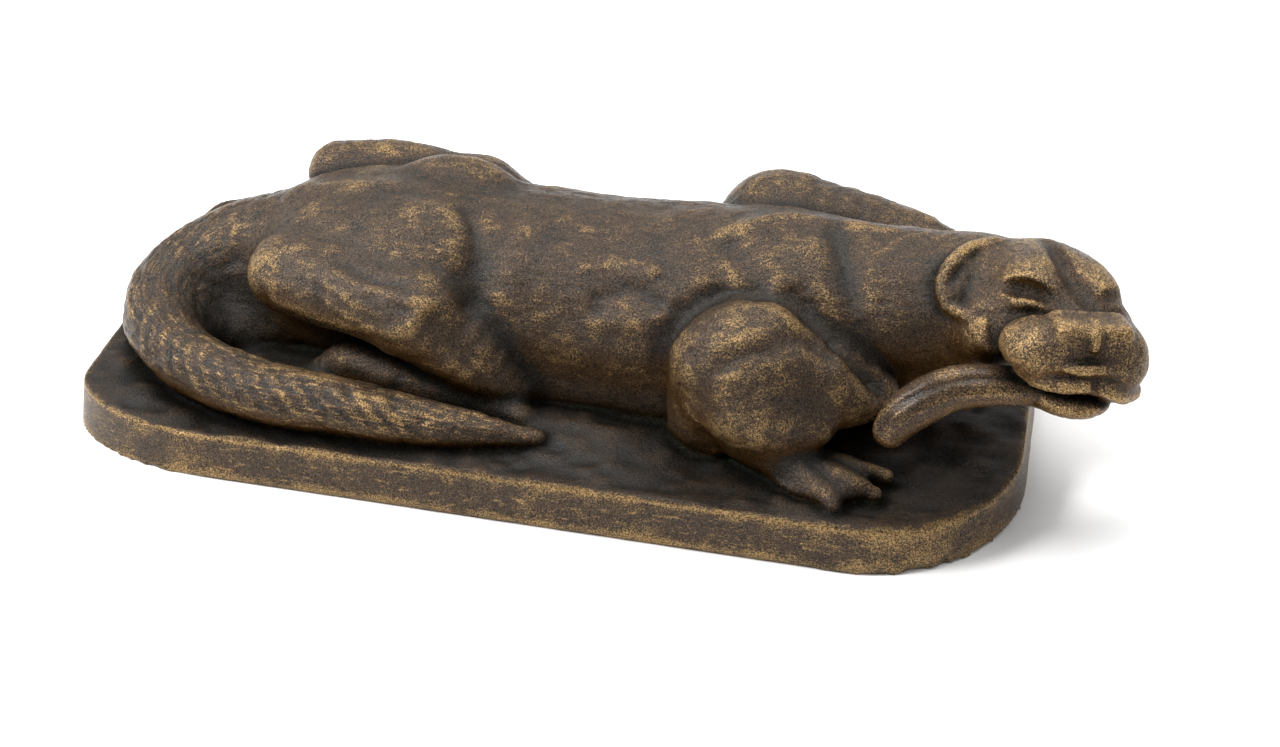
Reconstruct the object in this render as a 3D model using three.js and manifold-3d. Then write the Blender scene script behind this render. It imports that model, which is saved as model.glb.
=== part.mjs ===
// A crouching otter with a fish in its mouth, cast in bronze in one piece with its plinth.
//
// Millimetres, +Z up. The origin is the centre of the plinth's flat underside. The otter lies
// along +X and turns its head towards -Y, where its tail curls along the plinth's front edge.
//
// The otter is one smooth distance field: every muscle, limb and fold is a small solid that is
// joined to the others with a soft or a sharp seam. A lattice over the field gives the skin, and
// the plinth's outline then trims the ground.
import * as THREE from "three";
import { mergeVertices, toCreasedNormals } from "three/addons/utils/BufferGeometryUtils.js";
import Module from "manifold-3d";

const PLINTH_LENGTH = 341;
const PLINTH_WIDTH = 169;
const PLINTH_HEIGHT = 18;
const PLINTH_LEAN = 2.5; // how far the sides lean in over the plinth's height
const PLINTH_TAIL_CORNER = { along: 58, across: 28 };
const PLINTH_HEAD_CORNER = 58;
const CORNER_STEPS = 9;
const OTTER_LENGTH = 372; // from the bend of the tail to the muzzle

// The figures in the carving below are millimetres on an otter of this length, measured from the
// top of the plinth, and follow OTTER_LENGTH.
const CARVED_LENGTH = 372;
const SCALE = OTTER_LENGTH / CARVED_LENGTH;

const BRONZE = { color: 0x4a3620, roughness: 0.42, metalness: 0.85 };

// Small vector helpers on [x, y, z] arrays.
const sub = (a, b) => [a[0] - b[0], a[1] - b[1], a[2] - b[2]];
const dot = (a, b) => a[0] * b[0] + a[1] * b[1] + a[2] * b[2];
const mix = (a, b, t) => a + (b - a) * t;
const clamp = (value, low, high) => Math.min(high, Math.max(low, value));
const radians = THREE.MathUtils.degToRad;

// The three axes of a form that is turned to the side, then pitched up, then rolled, in degrees.
function turned(side, up = 0, roll = 0) {
  const euler = new THREE.Euler(radians(roll), radians(-up), radians(side), "ZYX");
  const matrix = new THREE.Matrix4().makeRotationFromEuler(euler);
  const axes = [new THREE.Vector3(), new THREE.Vector3(), new THREE.Vector3()];
  matrix.extractBasis(...axes);
  return axes.map((axis) => axis.toArray());
}
const UPRIGHT = turned(0);

// Joins two distances with a seam of the given softness.
function join(a, b, seam) {
  const h = Math.max(seam - Math.abs(a - b), 0) / seam;
  return Math.min(a, b) - (h * h * seam) / 4;
}

// Carves b out of a with an edge of the given softness.
const carve = (a, b, edge) => -join(-a, b, edge);

// A point of a uniform Catmull-Rom curve through rows of numbers.
function along(rows, t) {
  const last = rows.length - 1;
  const i = Math.min(Math.floor(t), last - 1);
  const f = t - i;
  const at = (k) => rows[clamp(k, 0, last)];
  return rows[0].map((_, n) => {
    const [a, b, c, d] = [at(i - 1)[n], at(i)[n], at(i + 1)[n], at(i + 2)[n]];
    return b + 0.5 * f * (c - a + f * (2 * a - 5 * b + 4 * c - d + f * (3 * (b - c) + d - a)));
  });
}

// An egg-like mass with three radii along its own axes.
function mass(centre, radii, axes = UPRIGHT) {
  const reach = Math.max(...radii);
  const least = Math.min(...radii);
  return (p, known) => {
    const q = sub(p, centre);
    const far = Math.sqrt(dot(q, q)) - reach;
    if (far > known) return far;
    const local = axes.map((axis, n) => dot(q, axis) / radii[n]);
    const k0 = Math.hypot(...local);
    const k1 = Math.hypot(local[0] / radii[0], local[1] / radii[1], local[2] / radii[2]);
    return k1 < 1e-9 ? -least : (k0 * (k0 - 1)) / k1;
  };
}

// A block with rounded edges.
function block(centre, half, rounding, axes) {
  return (p) => {
    const offset = sub(p, centre);
    const q = axes.map((axis, n) => Math.abs(dot(offset, axis)) - half[n] + rounding);
    const outside = Math.hypot(...q.map((v) => Math.max(v, 0)));
    return outside + Math.min(Math.max(...q), 0) - rounding;
  };
}

// A limb through rows of [x, y, z, radius].
function limb(rows, steps = 4) {
  const rings = [];
  const count = (rows.length - 1) * steps;
  for (let i = 0; i <= count; i++) rings.push(along(rows, (i / count) * (rows.length - 1)));
  return (p) => {
    let least = Infinity;
    for (let i = 0; i < count; i++) {
      const [a, b] = [rings[i], rings[i + 1]];
      const [ab, ap] = [sub(b, a), sub(p, a)];
      const t = clamp(dot(ap, ab) / dot(ab, ab), 0, 1);
      const d = Math.hypot(ap[0] - t * ab[0], ap[1] - t * ab[1], ap[2] - t * ab[2]);
      least = Math.min(least, d - mix(a[3], b[3], t));
    }
    return least;
  };
}

// A trunk along X through rows of [x, y, z, half width, half height].
function trunk(rows) {
  const [first, last] = [rows[0][0], rows[rows.length - 1][0]];
  return (p) => {
    const x = clamp(p[0], first, last);
    let i = 0;
    while (i < rows.length - 2 && rows[i + 1][0] < x) i++;
    const t = (x - rows[i][0]) / (rows[i + 1][0] - rows[i][0]);
    const [, y, z, wide, high] = along(rows, i + t);
    const [q, r] = [(p[1] - y) / wide, (p[2] - z) / high];
    const k0 = Math.hypot(q, r);
    const k1 = Math.hypot(q / wide, r / high);
    const across = k1 < 1e-9 ? -Math.min(wide, high) : (k0 * (k0 - 1)) / k1;
    return Math.max(across, Math.abs(p[0] - x) - 1);
  };
}

// From the tail's root to the throat: [x, y, z, half width, half height].
const TRUNK = [
  [-124, 1, 23, 19, 19],
  [-100, 1, 26, 30, 25],
  [-76, 1, 28, 36, 30],
  [-50, 0, 29, 39, 31],
  [-24, 0, 27, 40, 31],
  [4, 0, 25, 41, 32],
  [30, 0, 25, 42, 32],
  [56, 0, 27, 40, 33],
  [80, -1, 31, 36, 32],
  [104, -2, 35, 30, 28],
  [128, -4, 40, 26, 25],
  [150, -7, 46, 24, 23],
];

// The belly spreads on the ground below the trunk, and the hips stand on either side of the back.
const BELLY = [
  [-104, 0, 6, 20, 14],
  [-80, 0, 6, 30, 18],
  [-40, 0, 6, 40, 20],
  [20, 0, 4, 42, 20],
  [70, 0, 4, 40, 20],
  [104, 0, 8, 30, 18],
  [132, -2, 14, 20, 16],
];

const HIPS = { along: -45, beside: 16, up: 51, radii: [19, 10, 11] };

const TAIL = [
  [-96, 2, 27, 23],
  [-121, 1, 24, 19],
  [-138, -6, 20, 16],
  [-147, -20, 17, 14],
  [-146, -36, 14, 13],
  [-134, -51, 12, 12],
  [-116, -61, 11, 11.5],
  [-94, -66, 10, 11],
  [-68, -67, 9, 10.5],
  [-42, -67, 7, 9],
  [-18, -65, 5, 6.5],
  [4, -62, 3, 2.5],
];

// Hind leg, fore leg and toes are drawn for the right side and mirrored for the left.
const HIND_LEG = {
  knee: { centre: [-48, -24, 36], radii: [27, 20, 20] },
  shank: [
    [-98, -30, 35, 12.5],
    [-74, -38, 36, 13],
    [-44, -42, 35, 15],
  ],
  thighFoot: [
    [-44, -40, 32, 16],
    [-26, -42, 20, 13],
    [-12, -42, 8, 8],
  ],
  foot: [
    [-75, -36, 8, 9.5],
    [-53, -42, 6, 8.5],
    [-30, -46, 4, 8],
    [-6, -50, 1, 6],
  ],
};

// The right haunch, which the tail's bend pushes up.
const HAUNCH = { centre: [-72, -20, 35], radii: [34, 18, 18] };

const FORE_LEG = {
  elbow: { centre: [73, -40, 29], radii: [27, 23, 24] },
  elbowBack: [
    [61, -41, 31, 14],
    [60, -43, 6, 13],
  ],
  upperArm: [
    [74, -38, 30, 20],
    [98, -37, 25, 17],
    [115, -34, 21, 9],
  ],
  forearm: [
    [66, -50, 20, 12],
    [80, -53, 19, 14],
    [94, -50, 17, 11],
  ],
  palm: [
    [78, -50, 9, 12],
    [90, -56, 5, 9],
    [98, -59, 3, 6],
  ],
  web: { centre: [102, -61, 2], radii: [16, 11, 4.6] },
  toes: [
    [[88, -58, 7, 4.5], [98, -65, 5, 3.6], [108, -73, 1, 3]],
    [[92, -56, 5, 5], [107, -61, 4, 4], [121, -64, 1, 3]],
    [[94, -52, 4, 5], [109, -54, 3, 4], [123, -54, 1, 3]],
  ],
};

// Across the left side the bent neck draws the shoulder out towards the head.
const LEFT_SHOULDER = [
  [70, 40, 34, 23],
  [100, 39, 34, 18],
  [126, 36, 31, 15],
  [148, 30, 28, 10],
];

// The head has its own frame: forward to the nose, across to its left eye, and up, from a point
// midway between the eyes.
const HEAD = { eyes: [177, -27, 62.6], side: -73.5, up: 15.8, roll: -5.5 };
const HEAD_AXES = turned(HEAD.side, HEAD.up, HEAD.roll);
const onHead = ([f, a, u]) =>
  HEAD.eyes.map((v, n) => v + f * HEAD_AXES[0][n] + a * HEAD_AXES[1][n] + u * HEAD_AXES[2][n]);

// The masses of the head: [centre, radii, turn to the side, softness of the seam].
const HEAD_MASSES = [
  [[-22, -4, -8], [30, 25, 21], 0, 8], // skull
  [[-12, -12, 0], [20, 12, 12], -12, 4], // right brow
  [[-12, 6, -1], [20, 11, 11.5], 12, 4], // left brow
  [[-12, -23, -13], [18, 12, 13], 0, 5], // right cheek
  [[-16, 11, -15], [18, 11, 13], 0, 7], // left cheek
  [[2, -1, -8], [16, 13, 9], 0, 5], // bridge
  [[14, -14.5, -11], [13, 11.5, 9], 14, 3], // right whisker pad
  [[15, 12.5, -14], [13, 10, 10.5], -14, 3], // left whisker pad
  [[8, 0, -28], [18, 14, 7], 0, 2.5], // lower jaw
];

// The blocks of the head: [centre, half sizes, rounding, turn to the side, pitch, softness].
const HEAD_BLOCKS = [
  [[10, 0, -10.5], [15, 20, 9.5], 7, 0, -8, 3], // muzzle
  [[19, 0.5, -7], [8, 13, 8.5], 3.5, 2, -6, 3], // nose
];

// Ridges of the head: [forward, across, up, radius].
const UPPER_LIP = [
  [13, -20, -17, 2.5],
  [19, -14, -19.5, 3.8],
  [24, -5, -19.5, 4],
  [25.5, 3, -18.5, 4],
  [23, 11, -22, 4.2],
  [15, 18, -24, 4],
];

// The right ear is laid back along the neck's fold.
const EAR_RIM = [
  [-28, -21, 10, 2.5],
  [-24, -30, 9, 3],
  [-19, -37, 5, 3.2],
  [-16, -40, -1, 3.2],
  [-12, -38, -7, 3],
  [-6, -32, -9, 2],
];
const EAR_LOBE = [
  [-20, -32, 4, 3],
  [-14, -36, -4, 3.5],
];
const LEFT_EAR = [
  [-32, 12, 4, 3],
  [-30, 20, -4, 4],
  [-26, 21, -12, 3],
];

// Furrows of the head: points in its frame with the radius of the tool, and the edge's softness.
const HEAD_FURROWS = [
  { edge: 4, cut: [[-28, -4, 14, 1.5], [-7, -3, 11, 2], [0, -1, 7.5, 2.2], [8, 4, 3.5, 2]] }, // forehead
  { edge: 2.5, cut: [[-5, -26, 3.5, 1.6], [1, -19, 4.5, 3.4], [6, -11, 4, 2]] }, // right eye
  { edge: 2.5, cut: [[-3, 20, 3, 1.5], [2, 15, 4.5, 2.4], [6, 9, 4.5, 1.6]] }, // left eye
  { edge: 1.5, cut: [[-2, -31, -5.5, 1], [4, -24, -3.5, 1.3], [9, -16, -1.5, 1.3], [12, -8, 0, 1]] }, // lid
  { edge: 2, cut: [[2, -29, -9, 1.5], [6, -28, -15, 2], [12, -25, -20, 2]] }, // behind the right pad
  {
    edge: 2, // mouth
    cut: [[12, -23, -21, 1.8], [19, -15, -25, 1.6], [25, -6, -25, 1.6], [28, 2, -23.5, 1.6], [23, 13, -27, 1.6]],
  },
];

// Folds of the body, cut in the same way, from the plinth's centre and top.
const BODY_FOLDS = [
  [[94, 4, 68, 3], [100, -15, 62, 3.5], [105, -27, 52, 3.5], [110, -33, 43, 3.5], [117, -38, 30, 3]], // neck
  [[-33, -12, 63, 2], [-27, -22, 59, 3.5], [-24, -33, 50, 3], [-24, -42, 42, 2]], // before the knee
  [[58, -6, 62, 2], [69, -15, 61, 3], [73, -24, 57, 3]], // behind the shoulder
  [[42, -46, 22, 3], [43, -45, 36, 3], [50, -36, 46, 3], [62, -29, 53, 2]], // round the elbow
  [[88, -27, 54, 2], [98, -34, 48, 2.5], [110, -40, 39, 2.5], [120, -42, 29, 2]], // before the arm
];

// How softly the larger forms run into each other.
const SEAMS = { belly: 10, hips: 8, haunch: 12, tail: 6, folds: 5, fish: 1.5, ground: 4 };

const FISH = [
  [199, -28, 40, 4.5],
  [184, -45, 40.5, 5],
  [163, -48, 41.5, 6.4],
  [143, -53, 41, 7.5],
  [130, -58, 34, 7.5],
  [124, -60, 26, 6],
];

function bodyField() {
  const [upper, lower] = [trunk(TRUNK), trunk(BELLY)];
  const sides = [HIPS.beside, -HIPS.beside];
  const hips = sides.map((y) => mass([HIPS.along, y, HIPS.up], HIPS.radii));
  const tail = limb(TAIL);
  return (p) => {
    let d = join(upper(p), lower(p), SEAMS.belly);
    for (const hip of hips) d = join(d, hip(p, d + SEAMS.hips), SEAMS.hips);
    return join(d, tail(p), SEAMS.tail);
  };
}

function legsField() {
  const forms = [];
  for (const side of [1, -1]) {
    const at = ([x, y, ...rest]) => [x, side * y, ...rest];
    const add = (rows, seam) => forms.push([limb(rows.map(at)), seam]);
    const round = ({ centre, radii }, seam) => forms.push([mass(at(centre), radii), seam]);
    round(HIND_LEG.knee, 6);
    add(HIND_LEG.shank, 3);
    add(HIND_LEG.thighFoot, 6);
    add(HIND_LEG.foot, 3);
    round(FORE_LEG.elbow, 3);
    add(FORE_LEG.elbowBack, 4);
    add(FORE_LEG.upperArm, 4);
    add(FORE_LEG.forearm, 4);
    add(FORE_LEG.palm, 4);
    round(FORE_LEG.web, 3);
    for (const toe of FORE_LEG.toes) add(toe, 2);
  }
  forms.push([mass(HAUNCH.centre, HAUNCH.radii), SEAMS.haunch], [limb(LEFT_SHOULDER), 4]);
  return forms;
}

function headField() {
  const onHeadRow = ([f, a, u, radius]) => [...onHead([f, a, u]), radius];
  const turnedOnHead = (side, up) =>
    turned(side, up).map((axis) =>
      [0, 1, 2].map((n) => HEAD_AXES.reduce((sum, own, k) => sum + own[n] * axis[k], 0)),
    );
  const forms = HEAD_MASSES.map(([centre, radii, side, seam]) => [
    mass(onHead(centre), radii, turnedOnHead(side)),
    seam,
  ]);
  for (const [centre, half, rounding, side, up, seam] of HEAD_BLOCKS)
    forms.push([block(onHead(centre), half, rounding, turnedOnHead(side, up)), seam]);
  for (const rows of [EAR_RIM, EAR_LOBE, LEFT_EAR, UPPER_LIP])
    forms.push([limb(rows.map(onHeadRow), 2), 2]);
  const furrows = HEAD_FURROWS.map(({ edge, cut }) => [limb(cut.map(onHeadRow), 3), edge]);
  return { forms, furrows };
}

const HEAD_FIELD = headField();
const CARVING = {
  body: bodyField(),
  legs: legsField(),
  head: HEAD_FIELD.forms,
  furrows: HEAD_FIELD.furrows,
  folds: BODY_FOLDS.map((rows) => limb(rows)),
  fish: limb(FISH),
};

// Rises and hollows of the modelled ground: [x, y, reach along, reach across, height].
const GROUND_HUMPS = [
  [-116, -26, 20, 20, 9], // within the tail's bend
  [10, -50, 40, 14, 4], // along the right flank
  [20, 52, 60, 18, 4], // along the left flank
  [60, -60, 13, 10, -3], // before the right paw
  [134, -42, 30, 26, -3.5], // under the head
];
const GROUND_SLOPE = 0.9; // keeps the height over sloping ground close to a true distance

// The height of the modelled ground above the plinth's top.
function groundHeight(x, y) {
  let height = 0;
  for (const [atX, atY, reachX, reachY, rise] of GROUND_HUMPS)
    height += rise * Math.exp(-(((x - atX) / reachX) ** 2 + ((y - atY) / reachY) ** 2));
  return height;
}

function otterField(p) {
  let d = CARVING.body(p);
  for (const [form, seam] of CARVING.legs) d = join(d, form(p, d + seam), seam);
  for (const fold of CARVING.folds) d = carve(d, fold(p), SEAMS.folds);
  for (const [form, seam] of CARVING.head) d = join(d, form(p, d + seam), seam);
  for (const [furrow, edge] of CARVING.furrows) d = carve(d, furrow(p), edge);
  return join(d, CARVING.fish(p), SEAMS.fish);
}

// The whole casting's field at a point of the part's frame.
function castingField(x, y, z) {
  const p = [x / SCALE, y / SCALE, (z - PLINTH_HEIGHT) / SCALE];
  const ground = (p[2] - groundHeight(p[0], p[1])) * GROUND_SLOPE;
  return join(otterField(p), ground, SEAMS.ground) * SCALE;
}

// The lattice is finest at the head, where its cells shrink in every direction.
const LATTICE = { trunkStep: 8, headStep: 3.6, across: 30, upward: 16 };
const MARGIN = 2; // how far the ground runs level past the plinth's outline before it is trimmed
const BORDER = 30; // how far away the lattice's empty outer layer lies
const THIN = 0.05; // the depth given to lattice points that are filled with metal
const HEAD_REACH = 212; // where the lattice ends beyond the muzzle
const HEAD_SPAN = { right: -68, left: 20, low: 24, high: 80 }; // round the head, from the plinth's top

function latticeStations() {
  const [start, end] = [-PLINTH_LENGTH / 2 - MARGIN, HEAD_REACH * SCALE];
  const stations = [start - BORDER];
  for (let x = start; x < end - 1; ) {
    stations.push(x);
    const near = THREE.MathUtils.smoothstep(x / SCALE, 100, 150);
    x += mix(LATTICE.trunkStep, LATTICE.headStep, near);
  }
  stations.push(end);
  return stations;
}

// Spreads lines evenly, or packs a share of them between two limits.
function spread(t, low, high, packedLow, packedHigh, share, packing) {
  const even = mix(low, high, t);
  const before = ((1 - share) * (packedLow - low)) / (packedLow - low + high - packedHigh);
  let packed = mix(packedLow, packedHigh, (t - before) / share);
  if (t < before) packed = mix(low, packedLow, t / before);
  if (t > before + share) packed = mix(packedHigh, high, (t - before - share) / (1 - before - share));
  return mix(even, packed, packing);
}

function latticePoint(x, j, k) {
  const half = PLINTH_WIDTH / 2 + MARGIN;
  const top = PLINTH_HEIGHT + HEAD_SPAN.high * SCALE;
  const packing = THREE.MathUtils.smoothstep(x / SCALE, 110, 160);
  const [right, left] = [HEAD_SPAN.right * SCALE, HEAD_SPAN.left * SCALE];
  const across = (j - 1) / (LATTICE.across - 2);
  let y = spread(across, -half, half, right, left, 0.9, packing);
  if (j === 0) y = -half - BORDER;
  if (j === LATTICE.across) y = half + BORDER;
  if (k === 0) return [x, y, -BORDER];
  const low = PLINTH_HEIGHT - 6;
  const t = (k - 1) / (LATTICE.upward - 1);
  const z = spread(t, low, top + 5, PLINTH_HEIGHT + HEAD_SPAN.low * SCALE, top, 0.86, packing);
  return [x, y, z];
}

// A hollow that doesn't reach the open air is filled with metal.
function fillPockets(values, size) {
  const [nx, ny, nz] = size;
  const steps = [ny * nz, -ny * nz, nz, -nz, 1, -1];
  const open = new Uint8Array(values.length);
  const queue = [0];
  open[0] = 1;
  while (queue.length) {
    const here = queue.pop();
    for (const step of steps) {
      const next = here + step;
      if (next < 0 || next >= values.length || open[next] || values[next] < 0) continue;
      open[next] = 1;
      queue.push(next);
    }
  }
  for (let n = 0; n < values.length; n++) if (!open[n] && values[n] >= 0) values[n] = -THIN;
}

// Corner signs that would make two sheets of skin touch in one cell are filled with metal.
function fillPinches(values, size) {
  const [nx, ny, nz] = size;
  const index = (i, j, k) => (i * ny + j) * nz + k;
  for (let pass = 0, changed = true; changed && pass < 20; pass++) {
    changed = false;
    const mend = (a, b, c, d) => {
      const inside = [a, b, c, d].map((n) => values[n] < 0);
      if (inside[0] === inside[3] && inside[1] === inside[2] && inside[0] !== inside[1]) {
        for (const n of inside[0] ? [b, c] : [a, d]) values[n] = -THIN;
        changed = true;
      }
    };
    for (let i = 0; i < nx; i++)
      for (let j = 0; j < ny; j++)
        for (let k = 0; k < nz; k++) {
          const at = (a, b, c) => index(i + a, j + b, k + c);
          if (j + 1 < ny && k + 1 < nz) mend(at(0, 0, 0), at(0, 1, 0), at(0, 0, 1), at(0, 1, 1));
          if (i + 1 < nx && k + 1 < nz) mend(at(0, 0, 0), at(1, 0, 0), at(0, 0, 1), at(1, 0, 1));
          if (i + 1 < nx && j + 1 < ny) mend(at(0, 0, 0), at(1, 0, 0), at(0, 1, 0), at(1, 1, 0));
        }
  }
}

// The skin where the field is zero: one vertex in each cell that the skin crosses.
function skin(field) {
  const xs = latticeStations();
  const size = [xs.length, LATTICE.across + 1, LATTICE.upward + 1];
  const [nx, ny, nz] = size;
  const index = (i, j, k) => (i * ny + j) * nz + k;
  const points = new Array(nx * ny * nz);
  const values = new Float64Array(nx * ny * nz);
  for (let i = 0; i < nx; i++)
    for (let j = 0; j < ny; j++)
      for (let k = 0; k < nz; k++) {
        const p = latticePoint(xs[i], j, k);
        const border = i === 0 || j === 0 || k === 0 || i === nx - 1 || j === ny - 1 || k === nz - 1;
        points[index(i, j, k)] = p;
        values[index(i, j, k)] = border ? Math.max(field(...p), 0.5) : field(...p);
      }
  fillPinches(values, size);
  fillPockets(values, size);
  fillPinches(values, size);

  const corners = [0, 1, 2, 3, 4, 5, 6, 7].map((n) => [n & 1, (n >> 1) & 1, (n >> 2) & 1]);
  const edges = [];
  for (let a = 0; a < 8; a++) for (const bit of [1, 2, 4]) if (!(a & bit)) edges.push([a, a | bit]);
  const vertexOf = new Map();
  const positions = [];
  for (let i = 0; i + 1 < nx; i++)
    for (let j = 0; j + 1 < ny; j++)
      for (let k = 0; k + 1 < nz; k++) {
        const ids = corners.map(([a, b, c]) => index(i + a, j + b, k + c));
        const sum = [0, 0, 0];
        let crossings = 0;
        for (const [a, b] of edges) {
          const [va, vb] = [values[ids[a]], values[ids[b]]];
          if (va < 0 === vb < 0) continue;
          const t = va / (va - vb);
          for (let n = 0; n < 3; n++) sum[n] += mix(points[ids[a]][n], points[ids[b]][n], t);
          crossings++;
        }
        if (!crossings) continue;
        vertexOf.set(index(i, j, k), positions.length / 3);
        positions.push(...sum.map((s) => s / crossings));
      }

  const triangles = [];
  const quad = (cells, flip) => {
    const [a, b, c, d] = cells.map((cell) => vertexOf.get(index(...cell)));
    if (flip) triangles.push(a, c, b, b, c, d);
    else triangles.push(a, b, c, b, d, c);
  };
  for (let i = 0; i + 1 < nx; i++)
    for (let j = 0; j + 1 < ny; j++)
      for (let k = 0; k + 1 < nz; k++) {
        const here = values[index(i, j, k)] < 0;
        if (values[index(i + 1, j, k)] < 0 !== here)
          quad([[i, j - 1, k - 1], [i, j, k - 1], [i, j - 1, k], [i, j, k]], !here);
        if (values[index(i, j + 1, k)] < 0 !== here)
          quad([[i - 1, j, k - 1], [i, j, k - 1], [i - 1, j, k], [i, j, k]], here);
        if (values[index(i, j, k + 1)] < 0 !== here)
          quad([[i - 1, j - 1, k], [i, j - 1, k], [i - 1, j, k], [i, j, k]], !here);
      }
  const geometry = new THREE.BufferGeometry();
  geometry.setAttribute("position", new THREE.Float32BufferAttribute(positions, 3));
  geometry.setIndex(triangles);
  return geometry;
}

// The plinth's outline, drawn in by a little: straight sides with a quarter ellipse at each corner.
function plinthOutline(inset) {
  const [x, y] = [PLINTH_LENGTH / 2 - inset, PLINTH_WIDTH / 2 - inset];
  const quarter = Math.PI / 2;
  const corners = [
    [x, -y, PLINTH_HEAD_CORNER, PLINTH_HEAD_CORNER, -quarter],
    [x, y, PLINTH_HEAD_CORNER, PLINTH_HEAD_CORNER, 0],
    [-x, y, PLINTH_TAIL_CORNER.along, PLINTH_TAIL_CORNER.across, quarter],
    [-x, -y, PLINTH_TAIL_CORNER.along, PLINTH_TAIL_CORNER.across, 2 * quarter],
  ];
  const points = [];
  for (const [cornerX, cornerY, rx, ry, start] of corners)
    for (let i = 0; i <= CORNER_STEPS; i++) {
      const angle = start + (quarter * i) / CORNER_STEPS;
      const centreX = cornerX - Math.sign(cornerX) * rx;
      const centreY = cornerY - Math.sign(cornerY) * ry;
      points.push([centreX + rx * Math.cos(angle), centreY + ry * Math.sin(angle)]);
    }
  return points;
}

// A block that stands on the plinth's outline and leans in as the plinth's sides do.
function plinthBlock(height) {
  const foot = plinthOutline(0);
  const head = plinthOutline((PLINTH_LEAN * height) / PLINTH_HEIGHT);
  const count = foot.length;
  const positions = [...foot.flatMap(([x, y]) => [x, y, 0]), ...head.flatMap(([x, y]) => [x, y, height])];
  positions.push(0, 0, 0, 0, 0, height);
  const triangles = [];
  for (let i = 0; i < count; i++) {
    const next = (i + 1) % count;
    triangles.push(i, next, count + next, i, count + next, count + i);
    triangles.push(next, i, 2 * count, count + i, count + next, 2 * count + 1);
  }
  const geometry = new THREE.BufferGeometry();
  geometry.setAttribute("position", new THREE.Float32BufferAttribute(positions, 3));
  geometry.setIndex(triangles);
  return geometry;
}

const wasm = await Module();
wasm.setup();

function solid(geometry) {
  const bare = geometry.index ? geometry.toNonIndexed() : geometry.clone();
  bare.deleteAttribute("normal");
  bare.deleteAttribute("uv");
  const merged = mergeVertices(bare, 1e-4);
  const triVerts = new Uint32Array(merged.index.array);
  const vertProperties = merged.attributes.position.array;
  return new wasm.Manifold(new wasm.Mesh({ numProp: 3, vertProperties, triVerts }));
}

function geometryOf(made) {
  const mesh = made.getMesh();
  const geometry = new THREE.BufferGeometry();
  geometry.setAttribute("position", new THREE.BufferAttribute(mesh.vertProperties, 3));
  geometry.setIndex(new THREE.BufferAttribute(mesh.triVerts, 1));
  return toCreasedNormals(geometry, radians(50));
}

const RIM_CLEAR = 9; // the otter's overhanging head starts higher than this above the plinth

// The skin, trimmed to the plinth's sides and its flat underside.
function casting() {
  const reach = 4 * OTTER_LENGTH;
  const high = PLINTH_HEIGHT + RIM_CLEAR;
  const deep = high + 2 * BORDER;
  const waste = new THREE.BoxGeometry(reach, reach, deep).translate(0, 0, high - deep / 2);
  const around = solid(waste).subtract(solid(plinthBlock(2 * high)));
  return solid(skin(castingField)).subtract(around);
}

const made = casting();
const otter = new THREE.Mesh(geometryOf(made), new THREE.MeshStandardMaterial(BRONZE));
otter.name = "otter_on_plinth";

const group = new THREE.Group();
group.add(otter);

export default group;
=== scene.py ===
"""A crouching bronze otter with a fish in its mouth, cast in one piece with its plinth.

The casting is modelled as a distance field, as the solid part is, with the finer carving that the
solid leaves out, and is then finished in patinated bronze.
"""

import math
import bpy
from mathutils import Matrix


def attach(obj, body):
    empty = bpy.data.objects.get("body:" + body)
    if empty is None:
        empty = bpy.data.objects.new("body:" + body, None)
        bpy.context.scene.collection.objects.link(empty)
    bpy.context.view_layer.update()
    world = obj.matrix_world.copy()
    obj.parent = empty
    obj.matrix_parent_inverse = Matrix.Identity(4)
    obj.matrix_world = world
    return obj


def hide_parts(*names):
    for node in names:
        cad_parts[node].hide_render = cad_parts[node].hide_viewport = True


bl_info = {
    "name": "Bronze otter",
    "version": (1, 0, 0),
    "blender": (4, 5, 0),
    "location": "3D View > Sidebar > Otter",
    "description": "Models a bronze otter on its plinth, its patina and its studio stage",
    "category": "Add Mesh",
}

import bmesh
import bpy
import numpy as np
from mathutils import Vector

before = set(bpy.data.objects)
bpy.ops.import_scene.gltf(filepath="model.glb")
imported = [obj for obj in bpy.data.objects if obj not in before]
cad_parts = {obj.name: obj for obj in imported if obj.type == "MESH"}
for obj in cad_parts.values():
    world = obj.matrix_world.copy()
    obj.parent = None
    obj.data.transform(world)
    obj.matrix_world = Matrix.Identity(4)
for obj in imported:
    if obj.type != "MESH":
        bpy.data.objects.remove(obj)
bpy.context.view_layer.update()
NODE = "otter_on_plinth"
MM = 0.001
PLINTH_LENGTH = 341.0
PLINTH_WIDTH = 169.0
PLINTH_HEIGHT = 18.0
PLINTH_LEAN = 2.5
TAIL_CORNER = (58.0, 28.0)
HEAD_CORNER = (58.0, 58.0)
# The softness of the plinth's worn upper edge and of the line where the otter meets the ground.
PLINTH_EDGE = 1.2
GROUND_SEAM = 1.8
# The field over the sloping ground rises a little slower than the height does.
GROUND_RATE = 0.9

# The figures below are millimetres in the casting's frame, with heights from the plinth's top.

# From the tail's root to the throat: x, y, z, half width, half height.
TRUNK = (
    (-128, 0, 21, 12, 12),
    (-100, 1, 26, 30, 25),
    (-76, 1, 28, 36, 30),
    (-50, 0, 29, 39, 31),
    (-24, 0, 27, 40, 31),
    (4, 0, 25, 41, 32),
    (30, 0, 25, 42, 32),
    (56, 0, 27, 40, 33),
    (80, -1, 31, 36, 32),
    (104, -2, 35, 30, 28),
    (128, -4, 40, 26, 25),
    (146, -6, 45, 23, 22),
    (160, -9, 48, 14, 13),
)
BELLY = (
    (-132, -2, 5, 9, 10),
    (-118, -1, 6, 17, 14),
    (-104, 0, 6, 24, 16),
    (-80, 0, 6, 30, 18),
    (-40, 0, 6, 40, 20),
    (20, 0, 4, 42, 20),
    (70, 0, 4, 40, 20),
    (104, 0, 8, 30, 18),
    (132, -2, 14, 20, 16),
)
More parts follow.
